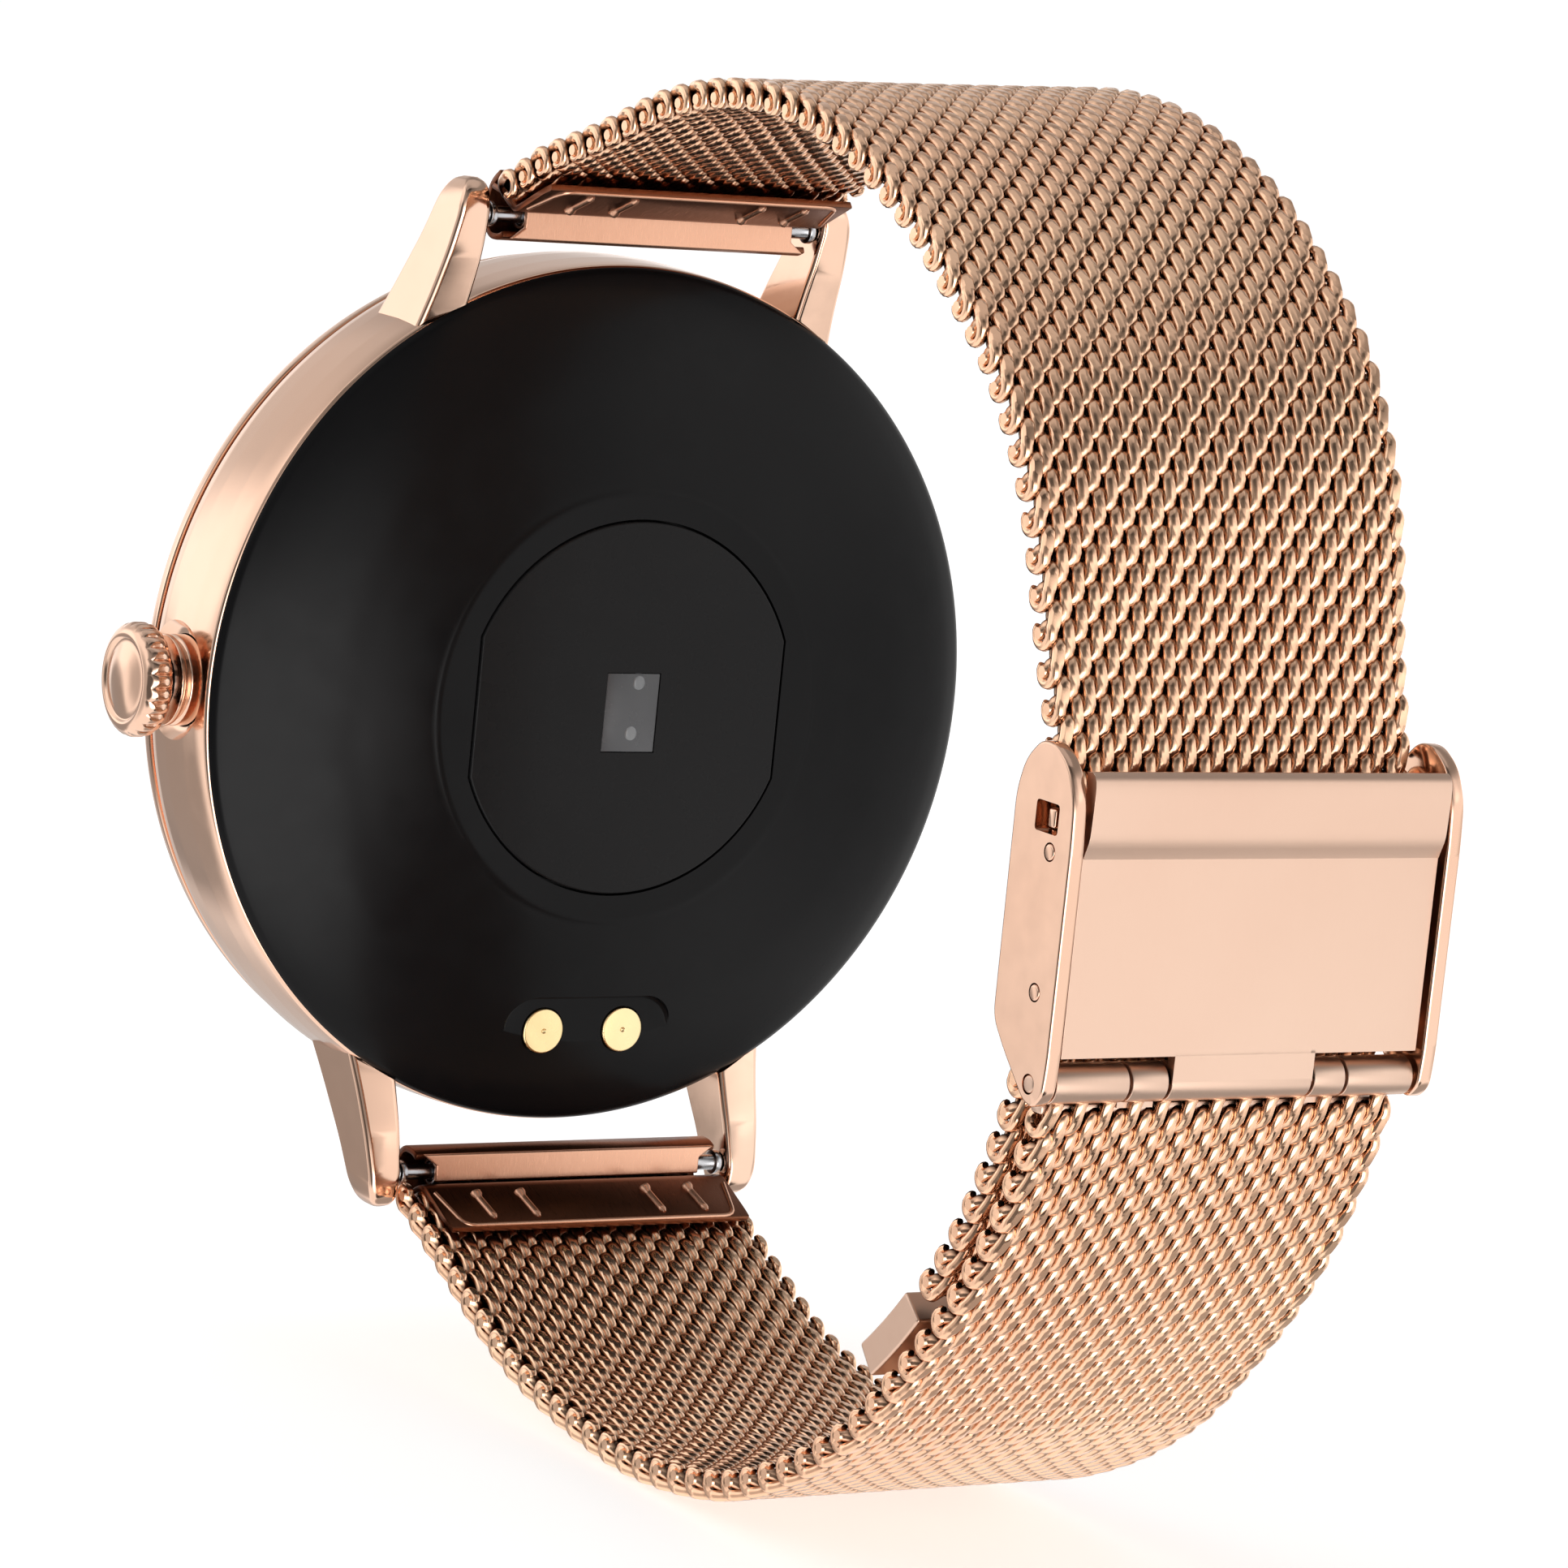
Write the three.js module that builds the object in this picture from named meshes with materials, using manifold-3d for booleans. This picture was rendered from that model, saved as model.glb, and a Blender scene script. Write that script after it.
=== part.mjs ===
// Round smartwatch with a woven-mesh bracelet, closed in its worn shape.
// Millimetres. +X towards the crown (3 o'clock), +Y towards the wrist and the clasp,
// +Z towards 12 o'clock. The origin is the middle of the sensor window's outer face.
import * as THREE from 'three';
import * as BufferGeometryUtils from 'three/addons/utils/BufferGeometryUtils.js';
import Module from 'manifold-3d';

const wasm = await Module();
wasm.setup();

// ---------------------------------------------------------------- dimensions

const CASE_R = 20.95;          // case wall, widest radius
const CASE_FRONT_Y = -9.35;    // case front face, under the bezel
const CAVITY_R = 18.8;
const GLASS_R = 18.4;
const GLASS_FRONT_Y = -11.4;

const BAR_Y = -2.4;            // spring-bar axis
const BAR_Z = 23.0;
const LUG_INNER_X = 9.15;      // half the gap between a pair of lugs
const LUG_OUTER_X = 12.2;
const PIN_R = 0.38;
const PIN_CLEAR = 0.1;

const WINDOW_R = 9.0;          // sensor window, a disc with two flats
const WINDOW_FLAT = 8.35;
const CONTACT_X = 2.2;
const CONTACT_Z = -16.0;
const CONTACT_R = 1.1;

const CROWN_Y = -6.8;
const CROWN_HEAD_R = 2.7;
const CROWN_X = 22.1;          // inner face of the crown head
const CROWN_FLUTES = 24;
const STEM_R = 0.75;

const STRAP_HALF = 8.95;       // half the strap's width
const STRAP_T = 1.5;
const LOOP_Y = 20.7;           // centre of the bracelet's loop, on z = 0
const TAIL_R = 28.1;           // mid-thickness radius of the layer that runs in the clasp
const LAYER_R = 30.0;          // mid-thickness radius of the layer over the tail
const FLEX_ANGLE = 55;         // where each half is split, degrees from +Y about the loop centre
const TAIL_END = -39.5;
const CAP_END = -49;
const CUT = 0.15;              // half the gap left where one strap piece follows another
const LUG_END = [-0.7, 24.7];  // middle of the strap's end inside its clip
const LUG_SLOPE = 25;          // the strap's slope where it leaves the clip, degrees

const HINGE_Y = 50.25;         // clasp hinge pin
const HINGE_Z = -6.65;
const HINGE_PIN_R = 0.38;
const KNUCKLE_R = 0.85;
const PLATE_X = 9.25;          // inside face of the clasp's side plates
const PLATE_T = 0.7;
const COVER_Y = 50.55;         // underside of the clasp cover
const COVER_T = 0.55;
const GUIDE_Y = 50.0;
const GUIDE_UPPER_Z = 2.9;
const GUIDE_LOWER_Z = -2.9;

// ---------------------------------------------------------------- materials

const metal = (color, roughness) => new THREE.MeshStandardMaterial({ color, metalness: 1, roughness });
const plastic = (color, roughness) => new THREE.MeshStandardMaterial({ color, metalness: 0, roughness });

const ROSE = metal(0xe2b296, 0.2);
const SATIN = metal(0xe4bda3, 0.4);
const COPPER = metal(0xa9664a, 0.35);
const MESH = metal(0xd09a78, 0.35);
const STEEL = metal(0x9a9a9c, 0.3);
const GOLD = metal(0xf2d28c, 0.25);
const BLACK = plastic(0x18181a, 0.3);
const DARK = plastic(0x2a2a2d, 0.4);
const GLASS = plastic(0x08080a, 0.05);
const BOARD = plastic(0x12492f, 0.6);
const CELL = plastic(0x8f949c, 0.5);
const RUBBER = plastic(0x222222, 0.8);
const LED = plastic(0xa8e0a0, 0.3);

const group = new THREE.Group();
group.name = 'smartwatch';

// ---------------------------------------------------------------- helpers

const rad = THREE.MathUtils.degToRad;

// Weld, drop unused attributes and turn the faces outward.
function weld(geometry) {
  geometry.deleteAttribute('uv');
  geometry.deleteAttribute('normal');
  const welded = BufferGeometryUtils.mergeVertices(geometry, 1e-5);
  const p = welded.attributes.position;
  const ids = welded.index.array;
  const kept = [];
  for (let i = 0; i < ids.length; i += 3) {
    const [a, b, c] = [ids[i], ids[i + 1], ids[i + 2]];
    if (a !== b && b !== c && c !== a) kept.push(a, b, c);
  }
  const [a, b, c] = [new THREE.Vector3(), new THREE.Vector3(), new THREE.Vector3()];
  let volume = 0;
  for (let i = 0; i < kept.length; i += 3) {
    a.fromBufferAttribute(p, kept[i]);
    b.fromBufferAttribute(p, kept[i + 1]);
    c.fromBufferAttribute(p, kept[i + 2]);
    volume += a.dot(b.cross(c));
  }
  if (volume < 0) kept.reverse();
  welded.setIndex(kept);
  return welded;
}

function toManifold(geometry) {
  const g = weld(geometry);
  return new wasm.Manifold(new wasm.Mesh({
    numProp: 3,
    vertProperties: new Float32Array(g.attributes.position.array),
    triVerts: new Uint32Array(g.index.array),
  }));
}

function fromManifold(solid) {
  const mesh = solid.getMesh();
  const g = new THREE.BufferGeometry();
  g.setAttribute('position', new THREE.BufferAttribute(new Float32Array(mesh.vertProperties), 3));
  g.setIndex(new THREE.BufferAttribute(new Uint32Array(mesh.triVerts), 1));
  return g;
}

const minus = (base, ...tools) =>
  fromManifold(tools.reduce((s, t) => s.subtract(toManifold(t)), toManifold(base)));
const plus = (base, ...others) =>
  fromManifold(others.reduce((s, t) => s.add(toManifold(t)), toManifold(base)));

function add(name, geometry, material) {
  const g = weld(geometry.clone());
  g.computeVertexNormals();
  const mesh = new THREE.Mesh(g, material);
  mesh.name = name;
  group.add(mesh);
}

const move = (geometry, x, y, z) => geometry.translate(x, y, z);

function box(x0, x1, y0, y1, z0, z1) {
  const g = new THREE.BoxGeometry(x1 - x0, y1 - y0, z1 - z0);
  return move(g, (x0 + x1) / 2, (y0 + y1) / 2, (z0 + z1) / 2);
}

// A closed profile of [radius, height] turned about Y.
function turnedY(profile, segments = 48) {
  return new THREE.LatheGeometry(profile.map(([r, y]) => new THREE.Vector2(r, y)), segments);
}

// The same, with the heights running along +X, about the line y, z.
function turnedX(profile, y, z, segments = 16) {
  return move(turnedY(profile, segments).rotateZ(-Math.PI / 2), 0, y, z);
}

const rodY = (r, y0, y1, segments = 20) => turnedY([[0, y0], [r, y0], [r, y1], [0, y1]], segments);
const rodX = (r, x0, x1, y, z, segments = 14) =>
  turnedX([[0, x0], [r, x0], [r, x1], [0, x1]], y, z, segments);
const ringY = (r0, r1, y0, y1, segments = 40) =>
  turnedY([[r0, y0], [r1, y0], [r1, y1], [r0, y1], [r0, y0]], segments);

// An outline of [y, z] points pulled along X.
function prismX(outline, x0, x1) {
  const shape = new THREE.Shape(outline.map(([y, z]) => new THREE.Vector2(y, z)));
  const g = new THREE.ExtrudeGeometry(shape, { depth: x1 - x0, bevelEnabled: false });
  const turn = new THREE.Matrix4().set(0, 0, 1, x0, 1, 0, 0, 0, 0, 1, 0, 0, 0, 0, 0, 1);
  return g.applyMatrix4(turn);
}

// An outline of [x, z] points pulled along Y.
function prismY(outline, y0, y1) {
  const shape = new THREE.Shape(outline.map(([x, z]) => new THREE.Vector2(z, x)));
  const g = new THREE.ExtrudeGeometry(shape, { depth: y1 - y0, bevelEnabled: false });
  const turn = new THREE.Matrix4().set(0, 1, 0, 0, 0, 0, 1, y0, 1, 0, 0, 0, 0, 0, 0, 1);
  return g.applyMatrix4(turn);
}

// The [y, z] outline of a sheet that follows a path with the given thickness.
function ribbon(path, thickness) {
  const left = [];
  const right = [];
  path.forEach(([y, z], i) => {
    const [ya, za] = path[Math.max(i - 1, 0)];
    const [yb, zb] = path[Math.min(i + 1, path.length - 1)];
    const length = Math.hypot(yb - ya, zb - za);
    const ny = -(zb - za) / length * thickness / 2;
    const nz = (yb - ya) / length * thickness / 2;
    left.push([y + ny, z + nz]);
    right.unshift([y - ny, z - nz]);
  });
  return left.concat(right);
}

const mirrorZ = (points) => points.map(([y, z]) => [y, -z]);

// ---------------------------------------------------------------- case

function lug(side, end) {
  const outline = [
    [-9.3, 16.6], [-3.2, 16.2], [-1.1, 21.2], [-0.7, 23.0], [-1.0, 24.1], [-2.0, 24.7],
    [-3.4, 24.6], [-4.4, 24.0], [-6.4, 21.8], [-8.9, 18.9],
  ];
  const shape = new THREE.Shape(outline.map(([y, z]) => new THREE.Vector2(y, z)));
  const bevel = 0.35;
  const g = new THREE.ExtrudeGeometry(shape, {
    depth: LUG_OUTER_X - LUG_INNER_X - 2 * bevel, bevelThickness: bevel, bevelSize: bevel,
    bevelOffset: -bevel, bevelSegments: 2,
  });
  const p = g.attributes.position;
  for (let i = 0; i < p.count; i += 1) {
    const [y, z, x] = [p.getX(i), p.getY(i), p.getZ(i) + bevel];
    const taper = THREE.MathUtils.clamp((z - 17) / 8, 0, 1);
    p.setXYZ(i, side * (LUG_INNER_X + x * (1 - 0.32 * taper)), y, end * z);
  }
  return g;
}

function caseBody() {
  const wall = turnedY([
    [20.52, -3.45], [20.52, -3.02], [20.68, -2.98], [20.82, -3.12], [20.9, -4.2], [CASE_R, -6.6],
    [CASE_R, -8.4], [20.86, -9.1], [20.7, CASE_FRONT_Y], [17.2, CASE_FRONT_Y], [17.2, -8.9],
    [CAVITY_R, -8.7], [CAVITY_R, -4.35], [19.6, -4.35], [19.6, -3.45], [20.52, -3.45],
  ]);
  const lugs = [[1, 1], [-1, 1], [1, -1], [-1, -1]].map(([side, end]) => lug(side, end));
  const cavity = turnedY([
    [0, -8.6], [CAVITY_R, -8.6], [CAVITY_R, -4.35], [19.6, -4.35], [19.6, -3.45], [20.52, -3.45],
    [20.52, 1], [0, 1],
  ]);
  const pinHoles = [-BAR_Z, BAR_Z].map((z) => rodX(PIN_R + PIN_CLEAR, -10.75, 10.75, BAR_Y, z, 16));
  return minus(minus(plus(wall, ...lugs), cavity), ...pinHoles, rodX(1.65, 17, 20.1, CROWN_Y, 0),
    rodX(2.25, 20.1, 23, CROWN_Y, 0));
}

add('case_body', caseBody(), ROSE);
add('bezel_ring', turnedY([
  [18.65, -9.65], [20.7, -9.65], [20.6, -10.3], [19.9, -11.1], [19.3, -11.35], [18.65, -11.3],
  [18.65, -9.65],
]), ROSE);
add('display_glass', turnedY([
  [0, -9.95], [GLASS_R, -9.95], [GLASS_R, -11.0], [18.0, GLASS_FRONT_Y], [0, GLASS_FRONT_Y],
]), GLASS);
add('display_adhesive', ringY(17.3, 18.3, -9.8, -9.5), RUBBER);
add('display_module', rodY(16.9, -9.75, -8.05, 48), DARK);

// ---------------------------------------------------------------- back and sensors

function windowOutline(clearance) {
  const r = WINDOW_R + clearance;
  const flat = WINDOW_FLAT + clearance;
  const half = Math.asin(flat / r);
  const outline = [];
  for (const centre of [Math.PI / 2, -Math.PI / 2]) {
    for (let i = 0; i <= 12; i += 1) {
      const a = centre + half * (1 - i / 6);
      outline.push([r * Math.cos(a), r * Math.sin(a)]);
    }
  }
  return outline;
}

function stadium(halfLength, halfWidth, x, z) {
  const outline = [];
  for (const side of [1, -1]) {
    for (let i = 0; i <= 8; i += 1) {
      const a = Math.PI * (0.5 - i / 8 + (side < 0 ? 1 : 0));
      outline.push([x + side * (halfLength - halfWidth) + halfWidth * Math.cos(a),
        z + halfWidth * Math.sin(a)]);
    }
  }
  return outline;
}

function rearCover() {
  const dome = turnedY([
    [0, -0.06], [9.9, -0.06], [10.5, -0.12], [10.75, -0.34], [12.0, -0.52], [14.0, -0.88],
    [16.0, -1.33], [18.0, -1.95], [19.4, -2.5], [20.2, -2.9], [20.42, -3.1], [20.3, -3.25],
    [18.65, -3.25], [18.65, -3.85], [17.6, -3.85], [17.6, -3.1], [14.0, -2.1], [10.0, -1.55],
    [0, -1.55],
  ]);
  const shanks = [-1, 1].map((s) => move(rodY(0.7, -4, 0), s * CONTACT_X, 0, CONTACT_Z));
  const heads = [-1, 1].map((s) => move(rodY(CONTACT_R + 0.06, -1.95, 0), s * CONTACT_X, 0, CONTACT_Z));
  const recess = prismY(stadium(4.7, 1.75, -0.2, CONTACT_Z), -1.48, 0);
  return minus(dome, prismY(windowOutline(0.12), -1.35, 1), rodY(6.5, -2, 0, 32), recess,
    ...shanks, ...heads);
}

const OPTICS = { x: -0.1, z: -0.2, halfX: 1.45, halfZ: 1.9 };
const opticsBox = (grow, y0, y1) => box(OPTICS.x - OPTICS.halfX - grow, OPTICS.x + OPTICS.halfX + grow,
  y0, y1, OPTICS.z - OPTICS.halfZ - grow, OPTICS.z + OPTICS.halfZ + grow);

add('rear_cover', rearCover(), BLACK);
add('rear_gasket', ringY(18.9, 19.5, -4.2, -3.6), RUBBER);
add('sensor_window', minus(prismY(windowOutline(0), -1.2, 0), opticsBox(0.04, -2, 1)), DARK);
add('optical_window', opticsBox(0, -1.2, 0), CELL);
add('sensor_board', box(-5, 5, -3.0, -2.5, -5, 5), BOARD);
add('photodiode', box(-0.9, 0.7, -2.42, -1.8, -0.7, 0.5), DARK);
add('led_upper', box(-0.8, 0.3, -2.42, -1.6, 0.9, 1.8), LED);
add('led_lower', box(-0.7, 0.4, -2.42, -1.6, -1.9, -1.0), LED);
for (const [name, side] of [['left', 1], ['right', -1]]) {
  const pin = turnedY([
    [0, -4.6], [0.6, -4.6], [0.6, -1.9], [CONTACT_R, -1.9], [CONTACT_R, -1.45], [0.98, -1.36],
    [0.16, -1.36], [0, -1.46],
  ], 28);
  add(`contact_${name}`, move(pin, side * CONTACT_X, 0, CONTACT_Z), GOLD);
  add(`magnet_${name}`, move(rodY(1.6, -5.6, -3.4), side * 7.2, 0, -14.0), STEEL);
}

// ---------------------------------------------------------------- inside the case

const SCREWS = [[1, 1], [1, -1], [-1, 1], [-1, -1]].map(([sx, sz]) => [sx * 11.3, sz * 11.3]);

add('inner_frame', minus(ringY(17.6, 18.5, -8.4, -4.6), box(12, 20, -9, -4, -3.2, 3.2)), DARK);
add('main_board', minus(rodY(17.2, -7.6, -6.95, 48), box(12.6, 20, -9, -4, -3.2, 3.2),
  ...SCREWS.map(([x, z]) => move(rodY(0.58, -9, -6, 12), x, 0, z))), BOARD);
add('processor_shield', box(-5, 5, -6.9, -5.6, 11.0, 15.6), STEEL);
add('battery', box(-9.4, 9.4, -6.6, -3.5, -9.8, 9.8), CELL);
SCREWS.forEach(([x, z], i) => {
  const screw = turnedY([[0, -7.9], [0.5, -7.9], [0.5, -6.88], [0.95, -6.88], [0.95, -6.35], [0, -6.35]], 16);
  add(`board_screw_${i + 1}`, move(screw, x, 0, z), STEEL);
});

const MOTOR_X = -13.7;
const MOTOR_R = 3.6;
add('motor_can', move(turnedY([
  [0, -3.7], [MOTOR_R, -3.7], [MOTOR_R, -6.6], [MOTOR_R - 0.3, -6.6], [MOTOR_R - 0.3, -4.0],
  [0.35, -4.0], [0.35, -6.3], [0, -6.3],
], 32), MOTOR_X, 0, 0), STEEL);
const rotor = minus(rodY(2.9, -6.0, -4.5, 24), rodY(0.42, -7, -4, 16),
  box(-4, 4, -7, -4, 0.9, 4));
add('motor_rotor', move(rotor, MOTOR_X, 0, 0), STEEL);

// ---------------------------------------------------------------- crown

function crownHead() {
  const outer = CROWN_HEAD_R;
  const shape = new THREE.Shape();
  const steps = CROWN_FLUTES * 4;
  for (let i = 0; i < steps; i += 1) {
    const a = i / steps * 2 * Math.PI;
    const wave = 0.5 + 0.5 * Math.cos(a * CROWN_FLUTES);
    const r = outer - 0.16 * (1 - Math.sqrt(wave));
    shape[i ? 'lineTo' : 'moveTo'](r * Math.cos(a), r * Math.sin(a));
  }
  const fluted = new THREE.ExtrudeGeometry(shape, {
    depth: 1.2, bevelThickness: 0.15, bevelSize: 0.15, bevelOffset: -0.15, bevelSegments: 1,
  });
  const barrel = move(fluted.rotateY(Math.PI / 2), CROWN_X + 0.15, CROWN_Y, 0);
  const cap = turnedX([
    [0, CROWN_X + 0.6], [2.3, CROWN_X + 0.6], [2.4, CROWN_X + 1.5], [2.2, CROWN_X + 1.72],
    [1.9, CROWN_X + 1.72], [1.7, CROWN_X + 1.6], [1.2, CROWN_X + 1.75], [0.6, CROWN_X + 1.85],
    [0, CROWN_X + 1.88],
  ], CROWN_Y, 0, 24);
  return minus(plus(barrel, cap), rodX(0.9, CROWN_X - 1, CROWN_X + 0.9, CROWN_Y, 0));
}

add('crown_head', crownHead(), ROSE);
add('crown_stem', turnedX([
  [0, 16.25], [STEM_R, 16.25], [STEM_R, 17.4], [0.55, 17.4], [0.55, 17.9], [STEM_R, 17.9],
  [STEM_R, CROWN_X + 0.8], [0, CROWN_X + 0.8],
], CROWN_Y, 0), STEEL);
add('stem_clip', turnedX([[0.6, 17.5], [1.4, 17.5], [1.4, 17.8], [0.6, 17.8], [0.6, 17.5]], CROWN_Y, 0), STEEL);
add('crown_tube', turnedX([
  [0.82, 18.9], [1.55, 18.9], [1.55, 20.2], [2.15, 20.2], [2.15, 21.05], [1.95, 21.15], [2.15, 21.25],
  [2.15, 21.5], [1.35, 21.5], [1.35, 20.4], [0.82, 20.4], [0.82, 18.9],
], CROWN_Y, 0, 20), ROSE);
add('crown_seal', move(new THREE.TorusGeometry(1.06, 0.2, 8, 18).rotateY(Math.PI / 2), 20.9, CROWN_Y, 0), RUBBER);
add('crown_switch', minus(box(13.0, 15.4, -7.8, -5.8, -2.2, 2.2), rodX(0.58, 14.4, 16, CROWN_Y, 0)), DARK);
add('switch_plunger', rodX(0.5, 15.0, 16.15, CROWN_Y, 0), STEEL);

// ---------------------------------------------------------------- spring bars and end clips

const BAR_HALF = 7.2;
const CLIP_T = 0.32;
const slope = [Math.cos(rad(LUG_SLOPE)), Math.sin(rad(LUG_SLOPE))];
// A point s along the strap's end and d off its mid-thickness, outward positive.
const atEnd = (s, d) => [
  LUG_END[0] + s * slope[0] - d * slope[1],
  LUG_END[1] + s * slope[1] + d * slope[0],
];

function endClip(end) {
  const outerLeaf = [
    [-0.9, 21.93], [-2.9, 21.93], [-3.42, 22.3], [-3.6, 23.0], [-3.5, 23.9], [-2.9, 24.8],
    atEnd(-0.8, 1.15), atEnd(2.4, 1.15),
  ];
  const innerLeaf = [[-3.3, 24.3], [-2.2, 24.1], [-1.6, 23.7], atEnd(-0.7, -1.15), atEnd(2.6, -1.15)];
  const turnTo = (path) => (end > 0 ? path : mirrorZ(path));
  const half = 8.75;
  const sheet = plus(prismX(ribbon(turnTo(outerLeaf), CLIP_T), -half, half),
    prismX(ribbon(turnTo(innerLeaf), CLIP_T), -half, half));
  const corners = [-1, 1].map((side) => {
    const wedge = [[side * 7.3, end * 20.8], [side * 9.6, end * 20.8], [side * 9.6, end * 24.3]];
    return prismY(wedge, -3.0, 3);
  });
  const ribs = [-6.2, -3.6, 3.6, 6.2].map((x) => {
    const [y0, z0] = atEnd(0.2, -1.25);
    const [y1, z1] = atEnd(2.0, -1.25);
    const path = new THREE.LineCurve3(new THREE.Vector3(x, y0, end * z0), new THREE.Vector3(x + 0.5, y1, end * z1));
    const dot = new THREE.Shape().absarc(0, 0, 0.24, 0, 2 * Math.PI);
    return new THREE.ExtrudeGeometry(dot, { steps: 1, curveSegments: 6, extrudePath: path });
  });
  return plus(minus(sheet, ...corners), ...ribs);
}

function barSpring(end) {
  const turns = 7;
  const points = [];
  for (let i = 0; i <= turns * 6; i += 1) {
    const a = i / 6 * 2 * Math.PI;
    points.push(new THREE.Vector3(-4.6 + 9.2 * i / (turns * 6), BAR_Y + 0.32 * Math.cos(a),
      end * BAR_Z + 0.32 * Math.sin(a)));
  }
  const path = new THREE.CatmullRomCurve3(points);
  const wire = new THREE.Shape().absarc(0, 0, 0.1, 0, 2 * Math.PI);
  return new THREE.ExtrudeGeometry(wire, { steps: turns * 6, curveSegments: 2, extrudePath: path });
}

for (const [name, end] of [['top', 1], ['bottom', -1]]) {
  const z = end * BAR_Z;
  add(`end_clip_${name}`, endClip(end), COPPER);
  add(`spring_bar_${name}`, turnedX([
    [0.5, -BAR_HALF], [0.65, -BAR_HALF], [0.65, BAR_HALF], [0.5, BAR_HALF], [0.5, -BAR_HALF],
  ], BAR_Y, z, 20), STEEL);
  add(`bar_spring_${name}`, barSpring(end), STEEL);
  for (const [hand, side] of [['left', 1], ['right', -1]]) {
    const pin = turnedX([
      [0, 6.2], [0.44, 6.2], [0.44, 7.1], [PIN_R, 7.1], [PIN_R, 8.65], [0.6, 8.65], [0.6, 8.95],
      [PIN_R, 8.95], [PIN_R, 10.3], [0.25, 10.45], [0, 10.45],
    ], 0, 0, 16);
    if (side < 0) pin.rotateZ(Math.PI);
    add(`bar_pin_${name}_${hand}`, move(pin, 0, BAR_Y, z), STEEL);
  }
}

// ---------------------------------------------------------------- bracelet

// A point at an angle and radius about the loop's centre, as [y, z].
const onLoop = (angle, r) => [LOOP_Y + r * Math.cos(rad(angle)), r * Math.sin(rad(angle))];

// Mid-thickness radius of each run at chosen angles, from the split to the lug or the clasp.
const UPPER_RUN = [[55, 30.45], [64, 30.75], [75, 31.05], [85, 31.15], [95, 30.95], [105, 30.75], [116, 30.8]];
const LOWER_RUN = [[55, 30.45], [64, 30.6], [75, 30.75], [88, 30.75], [100, 30.85], [112, 31.35]];
const TAIL_RUN = [[55, 30.45], [50, 30.4], [45, 30.25], [38, 29.75], [32, 29.1], [27, 28.5], [22, 28.12]];
const LAYER_RUN = [[55, 30.45], [50, 30.28], [46, 30.1], [42, LAYER_R]];

// A smooth path through the points, sampled evenly, as [y, z].
function smooth(points, samples) {
  const curve = new THREE.SplineCurve(points.map(([y, z]) => new THREE.Vector2(y, z)));
  return curve.getSpacedPoints(samples).map((p) => [p.x, p.y]);
}

// Shorten a path by a little at its first point, to leave room beside the next piece.
function trimStart(path, amount) {
  const [[ya, za], [yb, zb]] = path;
  const k = amount / Math.hypot(yb - ya, zb - za);
  return [[ya + (yb - ya) * k, za + (zb - za) * k], ...path.slice(1)];
}

function lugRun(run) {
  const points = run.map(([angle, r]) => onLoop(angle, r));
  return trimStart(smooth([...points, atEnd(3.2, 0), atEnd(1.6, 0), atEnd(0, 0)], 40), CUT);
}

function arcRun(run, r, endAngle) {
  const knots = run.map(([angle, radius]) => onLoop(angle, radius));
  const from = run[run.length - 1][0];
  const count = Math.ceil((from - endAngle) / 4);
  for (let i = 1; i <= count; i += 1) knots.push(onLoop(from + (endAngle - from) * i / count, r));
  return trimStart(smooth(knots, Math.ceil((55 - endAngle) / 2)), CUT);
}

const strap = (path) => prismX(ribbon(path, STRAP_T), -STRAP_HALF, STRAP_HALF);

add('strap_upper_lug', strap(lugRun(UPPER_RUN)), MESH);
add('strap_upper_tail', strap(arcRun(TAIL_RUN, TAIL_R, TAIL_END)), MESH);
add('strap_lower_lug', strap(mirrorZ(lugRun(LOWER_RUN))), MESH);
add('strap_lower_clasp', strap(mirrorZ(arcRun(LAYER_RUN, LAYER_R, 16.3))), MESH);

const capPath = [0, 1, 2, 3, 4].map((i) => onLoop(TAIL_END - 0.5 + (CAP_END - TAIL_END + 0.5) * i / 4, TAIL_R));
add('tail_end_cap', prismX(ribbon(capPath, 1.56), -9.0, 9.0), ROSE);

// ---------------------------------------------------------------- clasp

function claspFrame() {
  const outline = [
    [47.15, 5.0], [47.6, 6.4], [48.6, 7.3], [49.6, 7.3], [50.7, 6.6], [51.35, 5.2], [51.45, 3.4],
    [51.4, -5.6], [51.25, -7.0], [50.6, -7.6], [49.9, -7.4], [48.2, -5.7], [47.2, -4.5],
  ];
  const plates = [-1, 1].map((side) => {
    const x0 = side > 0 ? PLATE_X : -PLATE_X - PLATE_T;
    return prismX(outline, x0, x0 + PLATE_T);
  });
  const floor = box(-PLATE_X - 0.1, PLATE_X + 0.1, 46.72, 47.2, -4.4, 4.9);
  const slot = box(-12, 12, 47.95, 50.4, 3.62, 4.9);
  const pins = [[GUIDE_Y, GUIDE_UPPER_Z, 0.4], [GUIDE_Y, GUIDE_LOWER_Z, 0.4], [HINGE_Y, HINGE_Z, 0.43]];
  return minus(plus(plates[0], plates[1], floor), slot,
    ...pins.map(([y, z, r]) => rodX(r, -12, 12, y, z, 16)));
}

// Knuckles along the hinge pin: the link has the two narrow ones, the cover the middle tongue.
const TONGUE = [-3.8, 3.35];
const LINK_KNUCKLES = [[-5.55, -3.95], [3.5, 5.3]];
const FRAME_KNUCKLES = [[-9.1, -5.7], [5.45, 9.1]];

function hingeTube([x0, x1]) {
  return turnedX([
    [HINGE_PIN_R + 0.05, x0], [KNUCKLE_R, x0], [KNUCKLE_R, x1], [HINGE_PIN_R + 0.05, x1],
    [HINGE_PIN_R + 0.05, x0],
  ], HINGE_Y, HINGE_Z, 24);
}

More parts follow.
